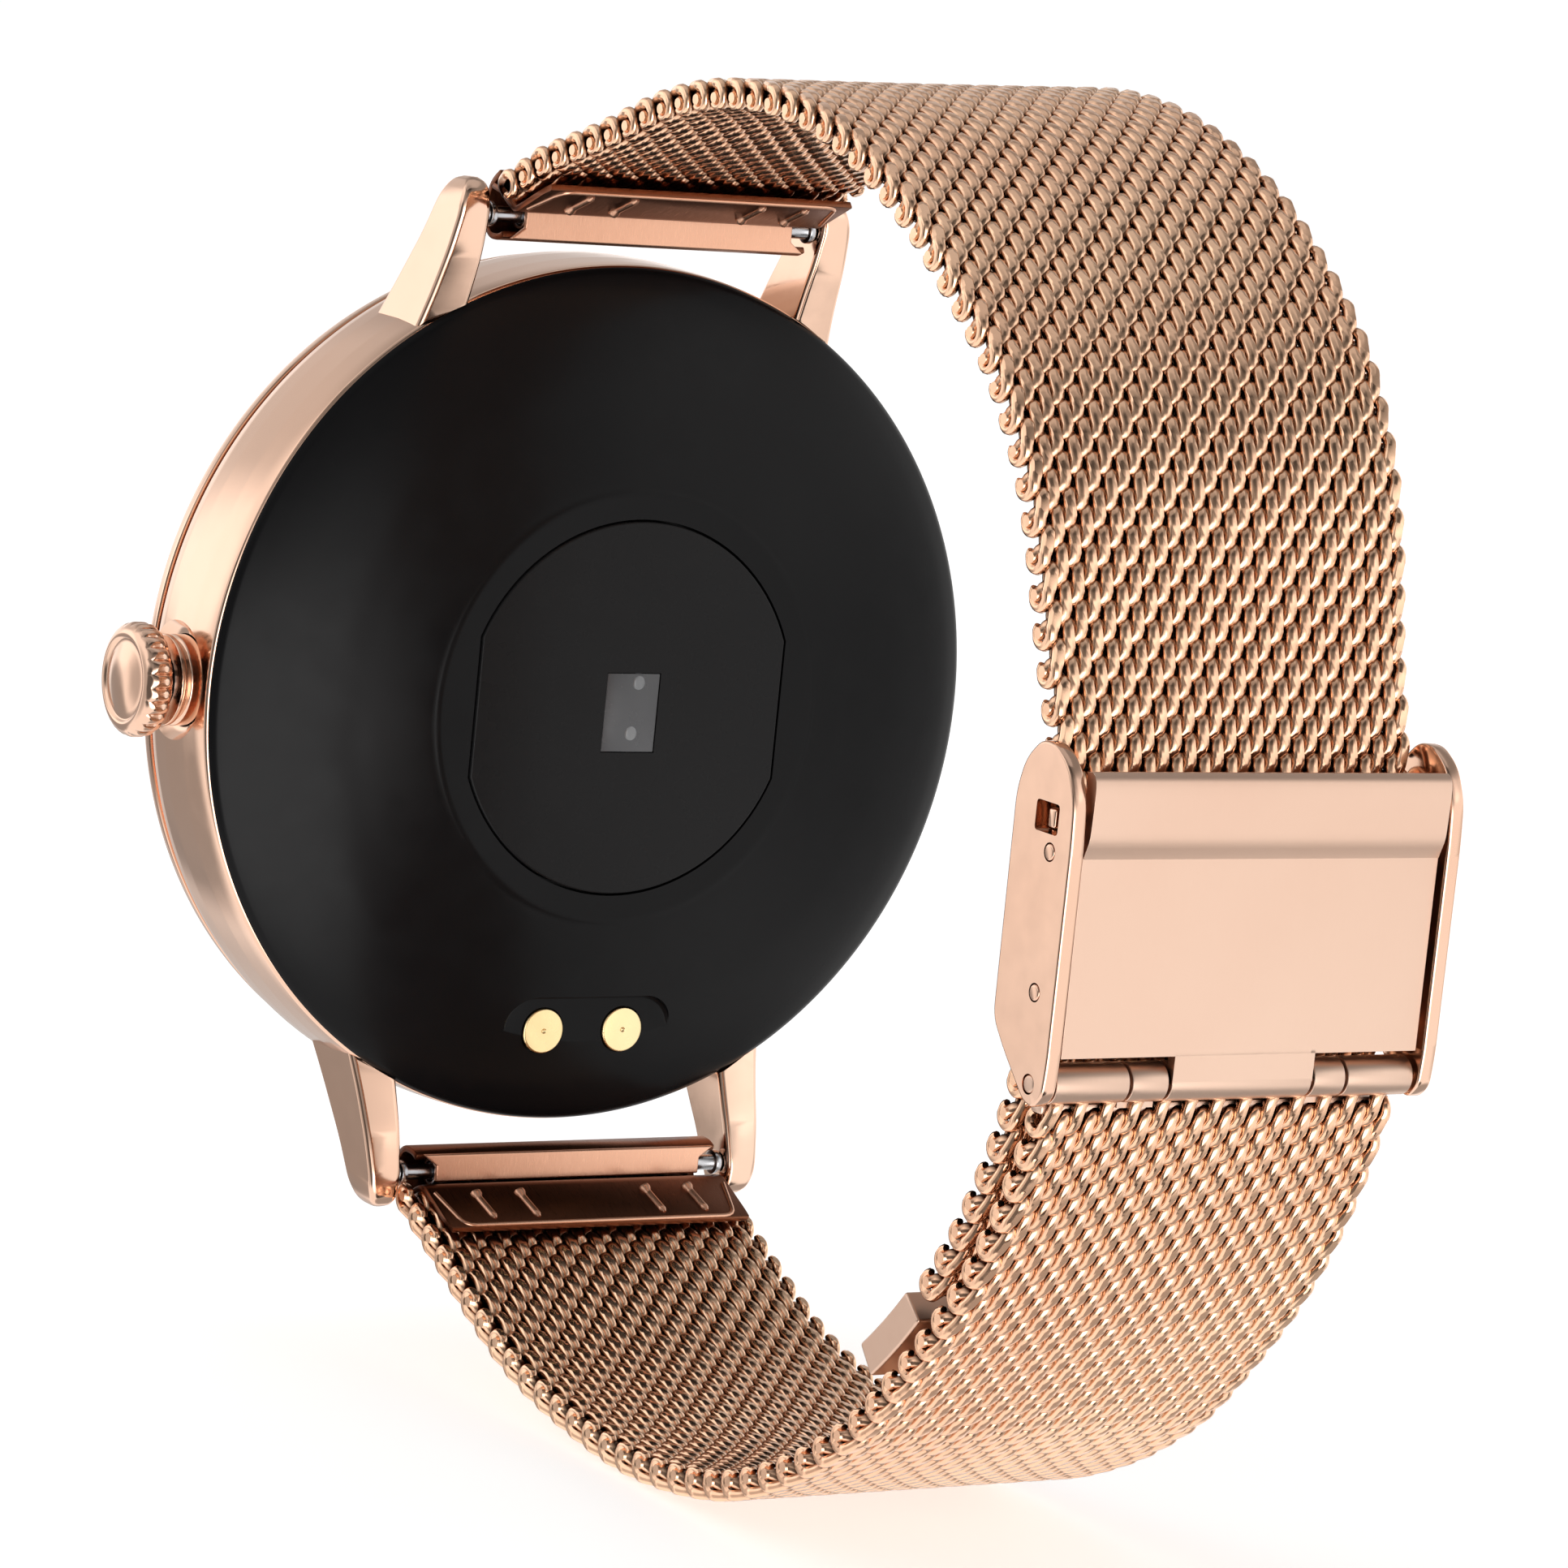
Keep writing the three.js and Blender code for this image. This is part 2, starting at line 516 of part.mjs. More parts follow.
function claspCover() {
  const profile = [
    [COVER_Y, -5.45], [COVER_Y, 2.6], [COVER_Y + 0.25, 3.6], [COVER_Y + 0.3, 5.9],
    [COVER_Y + 0.15, 6.3], [COVER_Y + 0.75, 6.3], [COVER_Y + 0.95, 5.9], [COVER_Y + 0.9, 3.6],
    [COVER_Y + COVER_T, 2.9], [COVER_Y + COVER_T, -5.45],
  ];
  const plate = prismX(profile, -9.05, 9.05);
  const tongue = prismX([
    [COVER_Y, -5.3], [HINGE_Y + 0.45, HINGE_Z + 0.4], [HINGE_Y + 0.45, HINGE_Z], [HINGE_Y + KNUCKLE_R, HINGE_Z],
    [COVER_Y + COVER_T, -5.3],
  ], ...TONGUE);
  return plus(plate, tongue, hingeTube(TONGUE));
}

function endLink() {
  const bar = box(-8.9, 8.9, 49.0, 50.0, -8.05, -7.65);
  const knuckles = LINK_KNUCKLES.map(hingeTube);
  const webs = LINK_KNUCKLES.map(([x0, x1]) => box(x0, x1, 49.5, 50.4, -7.8, -7.2));
  return plus(bar, ...knuckles, ...webs);
}

add('clasp_frame', claspFrame(), ROSE);
add('clasp_cover', claspCover(), SATIN);
add('clasp_sleeve_left', hingeTube(FRAME_KNUCKLES[1]), SATIN);
add('clasp_sleeve_right', hingeTube(FRAME_KNUCKLES[0]), SATIN);
add('end_link', endLink(), SATIN);
add('hinge_pin', rodX(HINGE_PIN_R, -9.95, 9.95, HINGE_Y, HINGE_Z), STEEL);
add('guide_pin_upper', rodX(0.35, -10.0, 10.0, GUIDE_Y, GUIDE_UPPER_Z), ROSE);
add('guide_pin_lower', rodX(0.35, -10.0, 10.0, GUIDE_Y, GUIDE_LOWER_Z), ROSE);
add('lock_bar', box(-9.85, 9.85, 49.5, 50.0, 3.85, 4.65), SATIN);

export default group;
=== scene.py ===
"""Looks of the smartwatch: woven-mesh bracelet, rose-gold case and clasp, black sensor back."""
import math

import bmesh
import bpy
import numpy as np
from mathutils import Matrix, Vector


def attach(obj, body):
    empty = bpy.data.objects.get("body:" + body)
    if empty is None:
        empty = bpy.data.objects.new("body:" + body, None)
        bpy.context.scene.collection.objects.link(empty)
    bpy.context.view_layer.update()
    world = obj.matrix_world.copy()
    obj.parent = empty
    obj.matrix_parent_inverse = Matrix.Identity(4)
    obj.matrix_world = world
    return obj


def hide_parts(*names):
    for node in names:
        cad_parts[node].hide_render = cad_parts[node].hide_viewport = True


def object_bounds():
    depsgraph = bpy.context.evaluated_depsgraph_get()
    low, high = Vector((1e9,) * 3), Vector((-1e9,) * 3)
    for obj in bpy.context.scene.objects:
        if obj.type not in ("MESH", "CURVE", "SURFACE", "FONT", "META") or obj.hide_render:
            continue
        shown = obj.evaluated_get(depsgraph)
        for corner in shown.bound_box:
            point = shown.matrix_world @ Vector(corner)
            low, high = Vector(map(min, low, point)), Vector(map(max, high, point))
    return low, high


MM = 0.001                     # the shapes below are in millimetres
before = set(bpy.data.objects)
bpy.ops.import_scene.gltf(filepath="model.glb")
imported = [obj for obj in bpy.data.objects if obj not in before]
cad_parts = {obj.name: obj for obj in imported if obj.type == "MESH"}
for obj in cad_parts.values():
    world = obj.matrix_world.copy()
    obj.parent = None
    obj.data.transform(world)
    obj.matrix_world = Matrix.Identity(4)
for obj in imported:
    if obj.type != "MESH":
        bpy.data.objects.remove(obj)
cad_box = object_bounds()

# ------------------------------------------------------------------ shared dimensions, mm

BAR_Y, BAR_Z = -2.4, 23.0      # spring-bar axis
LOOP_Y = 20.7                  # centre of the bracelet's loop
FLEX_ANGLE, FLEX_R = 55, 30.45  # where each strap's two bodies meet, on the loop
TAIL_R, LAYER_R = 28.1, 30.0
TAIL_END, CAP_END = -39.5, -49
LUG_END = (-0.7, 24.7)
LUG_SLOPE = math.radians(25)
CROWN_Y = -6.8
CONTACT_X, CONTACT_Z = 2.2, -16.0
HINGE_Y, HINGE_Z = 50.25, -6.65
GUIDE_Y, GUIDE_Z = 50.0, 2.9   # the guide pins, above and below the middle
COVER_Y, COVER_T = 50.55, 0.55

# ------------------------------------------------------------------ node materials


class Nodes:
    """A small helper to write a material's node tree in code."""

    def __init__(self, name):
        self.mat = bpy.data.materials.new(name)
        self.mat.use_nodes = True
        self.tree = self.mat.node_tree
        self.bsdf = self.tree.nodes["Principled BSDF"]
        self.place = self.tree.nodes.new("ShaderNodeTexCoord").outputs["Object"]

    def add(self, kind, **values):
        node = self.tree.nodes.new("ShaderNode" + kind)
        for key, value in values.items():
            if key in node.bl_rna.properties:
                setattr(node, key, value)
            else:
                node.inputs[key].default_value = value
        return node

    def link(self, a, b):
        self.tree.links.new(a, b)

    def stretched(self, scale):
        node = self.add("Mapping")
        node.inputs["Scale"].default_value = scale
        self.link(self.place, node.inputs["Vector"])
        return node.outputs[0]

    def noise(self, scale, detail=3.0, stretch=(1, 1, 1), roughness=0.5):
        node = self.add("TexNoise", Scale=scale, Detail=detail, Roughness=roughness)
        self.link(self.stretched(stretch), node.inputs["Vector"])
        return node.outputs["Fac"]

    def ranged(self, fac, low, high, start=0.35, end=0.65):
        node = self.add("MapRange")
        for key, value in (("From Min", start), ("From Max", end), ("To Min", low), ("To Max", high)):
            node.inputs[key].default_value = value
        self.link(fac, node.inputs["Value"])
        return node.outputs[0]

    def mixed(self, fac, first, second):
        node = self.add("Mix", data_type="RGBA")
        node.inputs[6].default_value = (*first, 1)
        node.inputs[7].default_value = (*second, 1)
        self.link(fac, node.inputs[0])
        return node.outputs[2]

    def bump(self, height, strength, distance):
        node = self.add("Bump", Strength=strength, Distance=distance)
        self.link(height, node.inputs["Height"])
        self.link(node.outputs[0], self.bsdf.inputs["Normal"])


def metal(name, dark, light, rough, grain=(1, 1, 1), scale=900.0, bump=0.05, clouds=40.0):
    """A metal whose tone drifts a little, with a fine surface grain of the given stretch."""
    n = Nodes(name)
    n.bsdf.inputs["Metallic"].default_value = 1.0
    n.link(n.mixed(n.ranged(n.noise(clouds), 0, 1), dark, light), n.bsdf.inputs["Base Color"])
    fine = n.noise(scale, 4.0, grain)
    n.link(n.ranged(fine, rough[0], rough[1], 0.3, 0.7), n.bsdf.inputs["Roughness"])
    n.bump(fine, bump, 0.00002)
    return n.mat


def plastic(name, dark, light, rough, scale=600.0, bump=0.05, coat=0.0, ior=1.5):
    """A plastic, rubber or board whose tone and roughness vary a little."""
    n = Nodes(name)
    n.link(n.mixed(n.ranged(n.noise(60.0), 0, 1), dark, light), n.bsdf.inputs["Base Color"])
    fine = n.noise(scale, 4.0)
    n.link(n.ranged(fine, rough[0], rough[1], 0.3, 0.7), n.bsdf.inputs["Roughness"])
    n.bsdf.inputs["Coat Weight"].default_value = coat
    n.bsdf.inputs["Coat Roughness"].default_value = 0.12
    n.bsdf.inputs["IOR"].default_value = ior
    n.bump(fine, bump, 0.00002)
    return n.mat


def woven():
    """Rose-gold wire, polished on its outer faces, with painted shade: its colour runs to near black deep
    between the turns.
    """
    n = Nodes("woven_rose_gold")
    n.bsdf.inputs["Metallic"].default_value = 1.0
    depth = n.add("Attribute", attribute_name="depth").outputs["Fac"]
    tone = n.mixed(n.ranged(n.noise(60.0), 0, 1), (0.90, 0.54, 0.355), (0.96, 0.62, 0.415))
    # painted shade: where the depth attribute is low, deep in the weave, the colour is mixed to near black
    # brown
    crevice_shade_mix = n.add("Mix", data_type="RGBA")
    crevice_shade_mix.inputs[6].default_value = (0.045, 0.014, 0.007, 1)
    n.link(n.ranged(depth, 0, 1, 0.46, 0.88), crevice_shade_mix.inputs[0])
    n.link(tone, crevice_shade_mix.inputs[7])
    n.link(crevice_shade_mix.outputs[2], n.bsdf.inputs["Base Color"])
    fine = n.noise(2500.0, 4.0)
    n.link(n.ranged(fine, 0.14, 0.26, 0.3, 0.7), n.bsdf.inputs["Roughness"])
    n.bump(fine, 0.05, 0.00002)
    return n.mat


ROSE_DARK, ROSE_LIGHT = (0.75, 0.475, 0.345), (0.82, 0.565, 0.43)
POLISHED = metal("polished_rose_gold", ROSE_DARK, ROSE_LIGHT, (0.10, 0.17), bump=0.02)
SATIN = metal("satin_rose_gold", (0.73, 0.50, 0.385), (0.78, 0.565, 0.445), (0.30, 0.42),
              (60, 1, 1), 1500.0, 0.12)
WOVEN = woven()
COPPER = metal("brushed_copper", (0.68, 0.36, 0.235), (0.78, 0.45, 0.31), (0.25, 0.38),
               (40, 1, 1), 1500.0, 0.15)
# a darkened copy of the brushed copper: painted shade on the end clips' fold and plate
SHADED_COPPER = metal("copper_painted_shade", (0.13, 0.045, 0.022), (0.22, 0.085, 0.045), (0.25, 0.40),
                    (40, 1, 1), 1500.0, 0.15)
STEEL = metal("steel", (0.40, 0.40, 0.42), (0.56, 0.56, 0.58), (0.18, 0.32))
GOLD = metal("gold_plate", (0.90, 0.68, 0.34), (0.95, 0.76, 0.44), (0.22, 0.32))
SHELL = plastic("black_shell", (0.0060, 0.0060, 0.0066), (0.0080, 0.0080, 0.0087), (0.20, 0.27),
                bump=0.01, ior=1.20)
WINDOW = plastic("dark_window", (0.0125, 0.0125, 0.0132), (0.0145, 0.0145, 0.0152), (0.24, 0.32),
                 bump=0.02, ior=1.20)
OPTIC = plastic("optical_cover", (0.060, 0.062, 0.067), (0.085, 0.088, 0.095), (0.2, 0.3), 1200.0)
LENS = plastic("led_lens", (0.10, 0.11, 0.12), (0.20, 0.21, 0.22), (0.1, 0.2), coat=1.0)
GLASS = plastic("front_glass", (0.002, 0.002, 0.003), (0.004, 0.004, 0.005), (0.02, 0.05),
                200.0, 0.0, ior=1.35)
DISPLAY = plastic("display_stack", (0.01, 0.01, 0.012), (0.02, 0.02, 0.025), (0.3, 0.4))
RUBBER = plastic("seal_rubber", (0.012, 0.012, 0.012), (0.03, 0.03, 0.03), (0.55, 0.75), 1500.0, 0.3)
BOARD = plastic("circuit_board", (0.008, 0.07, 0.03), (0.02, 0.14, 0.06), (0.35, 0.5), 900.0, 0.2)
CELL = plastic("battery_foil", (0.28, 0.30, 0.33), (0.4, 0.42, 0.45), (0.3, 0.5), 300.0, 0.2)
LED = plastic("led_body", (0.35, 0.6, 0.33), (0.5, 0.75, 0.48), (0.2, 0.4))

# ------------------------------------------------------------------ mesh building


def mesh_object(name, verts, faces, material, sharp=32.0):
    """A mesh from points in mm, smooth except along edges sharper than the angle."""
    data = bpy.data.meshes.new(name)
    data.from_pydata(np.asarray(verts, float).tolist(), [], [tuple(f) for f in faces])
    return finished(name, data, material, sharp)


def finished(name, data, material, sharp):
    """An object of the mesh with clean normals, its material and its sharp edges."""
    data.validate()
    bm = bmesh.new()
    bm.from_mesh(data)
    bmesh.ops.remove_doubles(bm, verts=bm.verts, dist=1e-4)
    bmesh.ops.recalc_face_normals(bm, faces=bm.faces)
    bm.to_mesh(data)
    bm.free()
    data.materials.clear()
    data.materials.append(material)
    data.polygons.foreach_set("use_smooth", [True] * len(data.polygons))
    data.set_sharp_from_angle(angle=math.radians(sharp))
    obj = bpy.data.objects.new(name, data)
    bpy.context.scene.collection.objects.link(obj)
    return obj


def turned(profile, segments, closed=False, axis="Y", at=(0.0, 0.0, 0.0)):
    """Points and faces of a [radius, height] profile turned about the axis through a point."""
    profile = np.asarray(profile, float)
    angle = np.arange(segments) * 2 * math.pi / segments
    r, h = profile[:, 0][:, None], profile[:, 1][:, None]
    a, b, c = r * np.cos(angle), r * np.sin(angle), np.repeat(h, segments, 1)
    order = {"Y": (a, c, b), "X": (c, a, b)}[axis]
    verts = np.stack(order, -1).reshape(-1, 3) + np.array(at)
    rows = len(profile)
    faces = []
    for i in range(rows if closed else rows - 1):
        p, q = i * segments, (i + 1) % rows * segments
        for j in range(segments):
            k = (j + 1) % segments
            faces.append((p + j, p + k, q + k, q + j))
    return verts, faces


def turned_object(name, profile, material, segments=96, closed=False, axis="Y", at=(0.0, 0.0, 0.0),
                  sharp=32.0):
    verts, faces = turned(profile, segments, closed, axis, at)
    return mesh_object(name, verts, faces, material, sharp)


def rounded(points, radius, steps=4, closed=True):
    """A polyline with its corners rounded by up to the radius."""
    points = [np.array(p, float) for p in points]
    out = []
    count = len(points)
    for i, p in enumerate(points):
        if not closed and i in (0, count - 1):
            out.append(p)
            continue
        a, b = points[i - 1] - p, points[(i + 1) % count] - p
        la, lb = np.linalg.norm(a), np.linalg.norm(b)
        cut = min(radius, 0.45 * la, 0.45 * lb)
        start, end = p + a / la * cut, p + b / lb * cut
        for k in range(steps + 1):
            t = k / steps
            out.append((1 - t) ** 2 * start + 2 * t * (1 - t) * p + t * t * end)
    return out


def prism(outline, low, high, axis="X"):
    """A bmesh of an outline pulled along X ([y, z] outline) or Y ([x, z] outline)."""
    bm = bmesh.new()
    sides = []
    for h in (low, high):
        if axis == "X":
            sides.append([bm.verts.new((h, p[0], p[1])) for p in outline])
        else:
            sides.append([bm.verts.new((p[0], h, p[1])) for p in outline])
    count = len(outline)
    bm.faces.new(sides[0])
    bm.faces.new(sides[1][::-1])
    for i in range(count):
        j = (i + 1) % count
        bm.faces.new((sides[0][i], sides[1][i], sides[1][j], sides[0][j]))
    bmesh.ops.recalc_face_normals(bm, faces=bm.faces)
    return bm


def bevel(bm, width, segments=2, angle=40.0):
    """Round every edge sharper than the angle."""
    limit = math.radians(angle)
    edges = [e for e in bm.edges if e.is_manifold and e.calc_face_angle(0) > limit]
    bmesh.ops.bevel(bm, geom=edges, offset=width, segments=segments, profile=0.5,
                    affect="EDGES", clamp_overlap=True)
    return bm


def from_bmesh(name, bm, material, sharp=32.0):
    data = bpy.data.meshes.new(name)
    bm.to_mesh(data)
    bm.free()
    return finished(name, data, material, sharp)


def boolean(obj, tool, sharp=32.0):
    """Cut the tool object out of obj, and drop the tool."""
    modifier = obj.modifiers.new("cut", "BOOLEAN")
    modifier.object = tool
    modifier.operation = "DIFFERENCE"
    modifier.solver = "EXACT"
    bpy.context.view_layer.update()
    data = bpy.data.meshes.new_from_object(obj.evaluated_get(bpy.context.evaluated_depsgraph_get()))
    obj.modifiers.clear()
    old = obj.data
    obj.data = data
    bpy.data.meshes.remove(old)
    bpy.data.objects.remove(tool)
    data.polygons.foreach_set("use_smooth", [True] * len(data.polygons))
    data.set_sharp_from_angle(angle=math.radians(sharp))
    return obj


def weighted(obj):
    """Shade large faces flat beside their rounded edges."""
    modifier = obj.modifiers.new("weighted", "WEIGHTED_NORMAL")
    modifier.keep_sharp = True
    modifier.weight = 80
    return obj


def shown(obj, body, slot, *nodes):
    """Put a finished piece, built in mm, on its body in place of the CAD nodes."""
    obj.data.transform(Matrix.Scale(MM, 4))
    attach(obj, body)
    if nodes:
        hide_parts(*nodes)
    return obj


# ------------------------------------------------------------------ curves


def catmull(points, samples):
    """A smooth path through the points, evenly spaced."""
    p = np.asarray(points, float)
    last = len(p) - 1
    out = []
    for i in range(last):
        p0, p1, p2, p3 = p[max(i - 1, 0)], p[i], p[i + 1], p[min(i + 2, last)]
        for t in np.linspace(0, 1, 40, endpoint=False):
            v0, v1 = (p2 - p0) / 2, (p3 - p1) / 2
            out.append((2 * p1 - 2 * p2 + v0 + v1) * t ** 3 + (-3 * p1 + 3 * p2 - 2 * v0 - v1) * t * t
                       + v0 * t + p1)
    out.append(p[last])
    return resample(np.array(out), samples)


def resample(path, samples):
    """The same path as evenly spaced points."""
    length = np.concatenate([[0], np.cumsum(np.linalg.norm(np.diff(path, axis=0), axis=1))])
    at = np.linspace(0, length[-1], samples)
    return np.stack([np.interp(at, length, path[:, k]) for k in range(path.shape[1])], 1)


def on_loop(angle, r):
    a = math.radians(angle)
    return (LOOP_Y + r * math.cos(a), r * math.sin(a))


def at_end(s, d):
    """A point s along the strap's end and d off its middle, outward positive."""
    c, k = math.cos(LUG_SLOPE), math.sin(LUG_SLOPE)
    return (LUG_END[0] + s * c - d * k, LUG_END[1] + s * k + d * c)


def ribbon(path, thickness):
    """The outline of a strip of the thickness along the path."""
    path = np.asarray(path, float)
    step = np.gradient(path, axis=0)
    step /= np.linalg.norm(step, axis=1)[:, None]
    across = np.stack([-step[:, 1], step[:, 0]], 1) * thickness / 2
    return np.concatenate([path + across, (path - across)[::-1]])


class Track:
    """The strap's mid-thickness line: turns (along, across, out) into x, y, z."""

    def __init__(self, points, end, twist=0.0):
        self.end, self.twist = end, twist
        line = catmull(points, 1600)
        line[:, 1] *= end
        step = np.gradient(line, axis=0)
        step /= np.linalg.norm(step, axis=1)[:, None]
        out = np.stack([-step[:, 1], step[:, 0]], 1)
        away = line - np.array([LOOP_Y, 0.0])
        out *= np.where((out * away).sum(1) < 0, -1.0, 1.0)[:, None]
        self.line, self.out = line, out
        self.at = np.concatenate([[0], np.cumsum(np.linalg.norm(np.diff(line, axis=0), axis=1))])
        self.length = self.at[-1]

    def place(self, s, x, n):
        line = [np.interp(s, self.at, self.line[:, k]) for k in (0, 1)]
        out = [np.interp(s, self.at, self.out[:, k]) for k in (0, 1)]
        angle = np.degrees(np.arctan2(self.end * line[1], line[0] - LOOP_Y))
        loose = np.clip(1 - ((angle - LOOSE_AT) / LOOSE_SPAN) ** 2, 0, 1) ** 2
        n = n - self.twist * x * loose
        x = x * (1 + SPREAD * loose)
        start, end = np.minimum(s, 0), np.maximum(s - self.length, 0)
        first = (self.line[1] - self.line[0]) / self.at[1]
        last = (self.line[-1] - self.line[-2]) / (self.at[-1] - self.at[-2])
        y = line[0] + out[0] * n + start * first[0] + end * last[0]
        z = line[1] + out[1] * n + start * first[1] + end * last[1]
        return np.stack([x, y, z], -1)

    def nearest(self, point):
        return self.at[np.argmin(((self.line - np.array(point)) ** 2).sum(1))]


UPPER_RUN = [(116, 30.8), (105, 30.75), (95, 30.95), (85, 31.15), (75, 31.05), (64, 30.75), (55, 30.45)]
LOWER_RUN = [(112, 31.35), (100, 30.85), (88, 30.75), (75, 30.75), (64, 30.6), (55, 30.45)]
TAIL_RUN = [(50, 30.4), (45, 30.25), (38, 29.75), (32, 29.1), (27, 28.5), (22, 28.12)]
LAYER_RUN = [(50, 30.28), (46, 30.1), (42, LAYER_R)]


def arc(start, end, r, step=4.0):
    count = math.ceil(abs(end - start) / step)
    return [on_loop(start + (end - start) * i / count, r) for i in range(1, count + 1)]


def strap_points(runs, end_angle, r):
    ends = [at_end(0, 0), at_end(1.6, 0), at_end(3.2, 0)]
    along = [on_loop(a, radius) for run in runs for a, radius in run]
    return ends + along + arc(runs[-1][-1][0], end_angle, r)


# ------------------------------------------------------------------ woven strap

ROW = 0.785                    # from one spiral wire to the next along the strap
TURN = 1.38                    # one turn of a spiral across the strap
COLUMNS = 12
WIRE_R = 0.30
HALF_L = 0.81                  # half a turn's length along the strap, at the wire's middle
HALF_H = 0.465                 # from the strap's middle to the wire's middle
ARCH = 2.4                     # how square a turn is: 2 is an ellipse
LEAN, SWEEP = 1.0, 0.14        # how much of the sideways travel is in the bends
FLAT = HALF_H + 0.232          # the polished faces of the weave
GROUND_X = 8.9                 # the ground faces of its edges
STEPS = 20                     # points in a turn
LOOSE_AT, LOOSE_SPAN = 60, 50  # loop angles where the weave lies loosest, and how far that reaches
SPREAD = 0.035                 # how much wider the weave lies there
TWIST = 0.11                   # how far the upper strap leans towards the crown side there
SECTION = np.radians([0, 39, 60, 84, 115, 155, 205, 245, 276, 300, 321])
DISC_AT = (-0.45, -0.2)        # a neighbour's cut end inside the hook, along and out
HOOK = ((90, 0.64), (115, 0.62), (140, 0.58), (165, 0.55), (190, 0.52), (215, 0.49), (240, 0.455),
        (270, 0.43), (300, 0.42), (325, 0.41))


def wire_line():
    """One wire across the strap as (along, across, out) and its radius: cut end, spiral, edge hook."""
    stub = [(1.235, -GROUND_X - 0.03, -0.2), (1.235, -8.78, -0.2), (1.17, -8.62, -0.16), (1.0, -8.48, -0.07)]
    t = np.arange(-STEPS // 5, COLUMNS * STEPS - 6 * STEPS // 20 + 1) / STEPS
    wave, rise = np.sin(2 * math.pi * t), np.cos(2 * math.pi * t)
    along = -HALF_L * np.sign(wave) * np.abs(wave) ** (2 / ARCH)
    out = HALF_H * np.sign(rise) * np.abs(rise) ** (2 / ARCH)
    travel = t - LEAN * np.sin(4 * math.pi * t) / (4 * math.pi)
    across = TURN * (travel - COLUMNS / 2 + 0.25) + SWEEP * wave ** 3
    spiral = np.stack([along, across, out], 1)
    hook = [spiral[-2], spiral[-1], (0.70, 8.26, 0.22), (0.56, 8.34, 0.38), (0.36, 8.42, 0.455),
            (0.08, 8.50, 0.47), (-0.2, 8.58, 0.465)]
    for degrees, r in HOOK:
        a = math.radians(degrees)
        hook.append((DISC_AT[0] + r * math.cos(a), 8.68, DISC_AT[1] + r * math.sin(a)))
    hook = catmull(hook, 34)[3:]
    line = np.concatenate([stub, spiral, hook])
    radius = np.full(len(line), WIRE_R)
    radius[:4] = (0.25, 0.30, 0.31, 0.32)
    run = np.arange(len(hook)) / len(hook)
    radius[-len(hook):] = np.interp(run, (0, 0.35, 0.6, 1), (WIRE_R, 0.28, 0.24, 0.16))
    return line, radius


def tube(line, radius):
    """Rings of points of a wire along the line, its faces polished flat and its edges ground."""
    line = np.asarray(line, float)
    step = np.gradient(line, axis=0)
    step /= np.linalg.norm(step, axis=1)[:, None]
    lift = np.zeros_like(line)
    lift[0] = (0.0, 0.0, 1.0)
    for i in range(len(line)):
        if i:
            lift[i] = lift[i - 1]
        ideal = np.cross((0.0, 1.0, 0.0), step[i])
        if np.linalg.norm(ideal) > 0.6:
            lift[i] = 0.5 * lift[i] + 0.5 * ideal / np.linalg.norm(ideal)
        lift[i] -= step[i] * (lift[i] @ step[i])
        lift[i] /= np.linalg.norm(lift[i])
    side = np.cross(lift, step)
    c, s = np.cos(SECTION)[None, :, None], np.sin(SECTION)[None, :, None]
    verts = line[:, None, :] + radius[:, None, None] * (c * lift[:, None, :] + s * side[:, None, :])
    verts[:, :, 2] = np.clip(verts[:, :, 2], -FLAT, FLAT)
    ground = np.where(np.arange(len(line)) < 2, GROUND_X + 0.03, GROUND_X)[:, None]
    verts[:, :, 1] = np.clip(verts[:, :, 1], -ground, ground)
    return verts


def tube_faces(rows, sides, offset=0, flip=False):
    """Faces of a closed tube of rings, turned inside out when its points are mirrored."""
    faces = []
    for i in range(rows - 1):
        a, b = offset + i * sides, offset + (i + 1) * sides
        for j in range(sides):
            k = (j + 1) % sides
            faces.append((a + k, a + j, b + j, b + k) if flip else (a + j, a + k, b + k, b + j))
    first = tuple(offset + j for j in range(sides))
    last = tuple(offset + (rows - 1) * sides + j for j in range(sides))
    faces += [first, last[::-1]] if flip else [first[::-1], last]
    return faces


def wire_mesh(name, wires, track, flip, material):
    """One mesh of many wires, each (points rows x sides x 3 in strap coordinates)."""
    verts, faces, shades, count = [], [], [], 0
    for w in wires:
        rows, sides = w.shape[:2]
        verts.append(track.place(w[..., 0], w[..., 1], w[..., 2]).reshape(-1, 3))
        faces += tube_faces(rows, sides, count, flip)
        # the depth attribute: how far out of the weave a point lies, full at the ground edges; the material
        # paints shade where it is low
        open_side = np.clip((np.abs(w[..., 1]) - 8.4) / 0.4, 0, 1)
        shades.append(np.maximum(np.abs(w[..., 2]) / FLAT, open_side).reshape(-1))
        count += rows * sides
    data = bpy.data.meshes.new(name)
    data.from_pydata(np.concatenate(verts).tolist(), [], faces)
    data.materials.append(material)
    data.polygons.foreach_set("use_smooth", [True] * len(data.polygons))
    data.set_sharp_from_angle(angle=math.radians(40))
    depth = data.attributes.new("depth", "FLOAT", "POINT")
    depth.data.foreach_set("value", np.concatenate(shades).astype(np.float32))
    obj = bpy.data.objects.new(name, data)
    bpy.context.scene.collection.objects.link(obj)
    return obj


def strap_wires(start, end, hand):
    """Wires whose rows fall between start and end along the strap; every second one is turned round."""
    wire = tube(*wire_line())
    odd, even = wire * (-hand, 1, 1), wire * (hand, -1, 1)
    first, last = math.ceil(start / ROW), math.floor(end / ROW)
    return [(odd if k % 2 else even) + (k * ROW, 0, 0) for k in range(first, last + 1)]


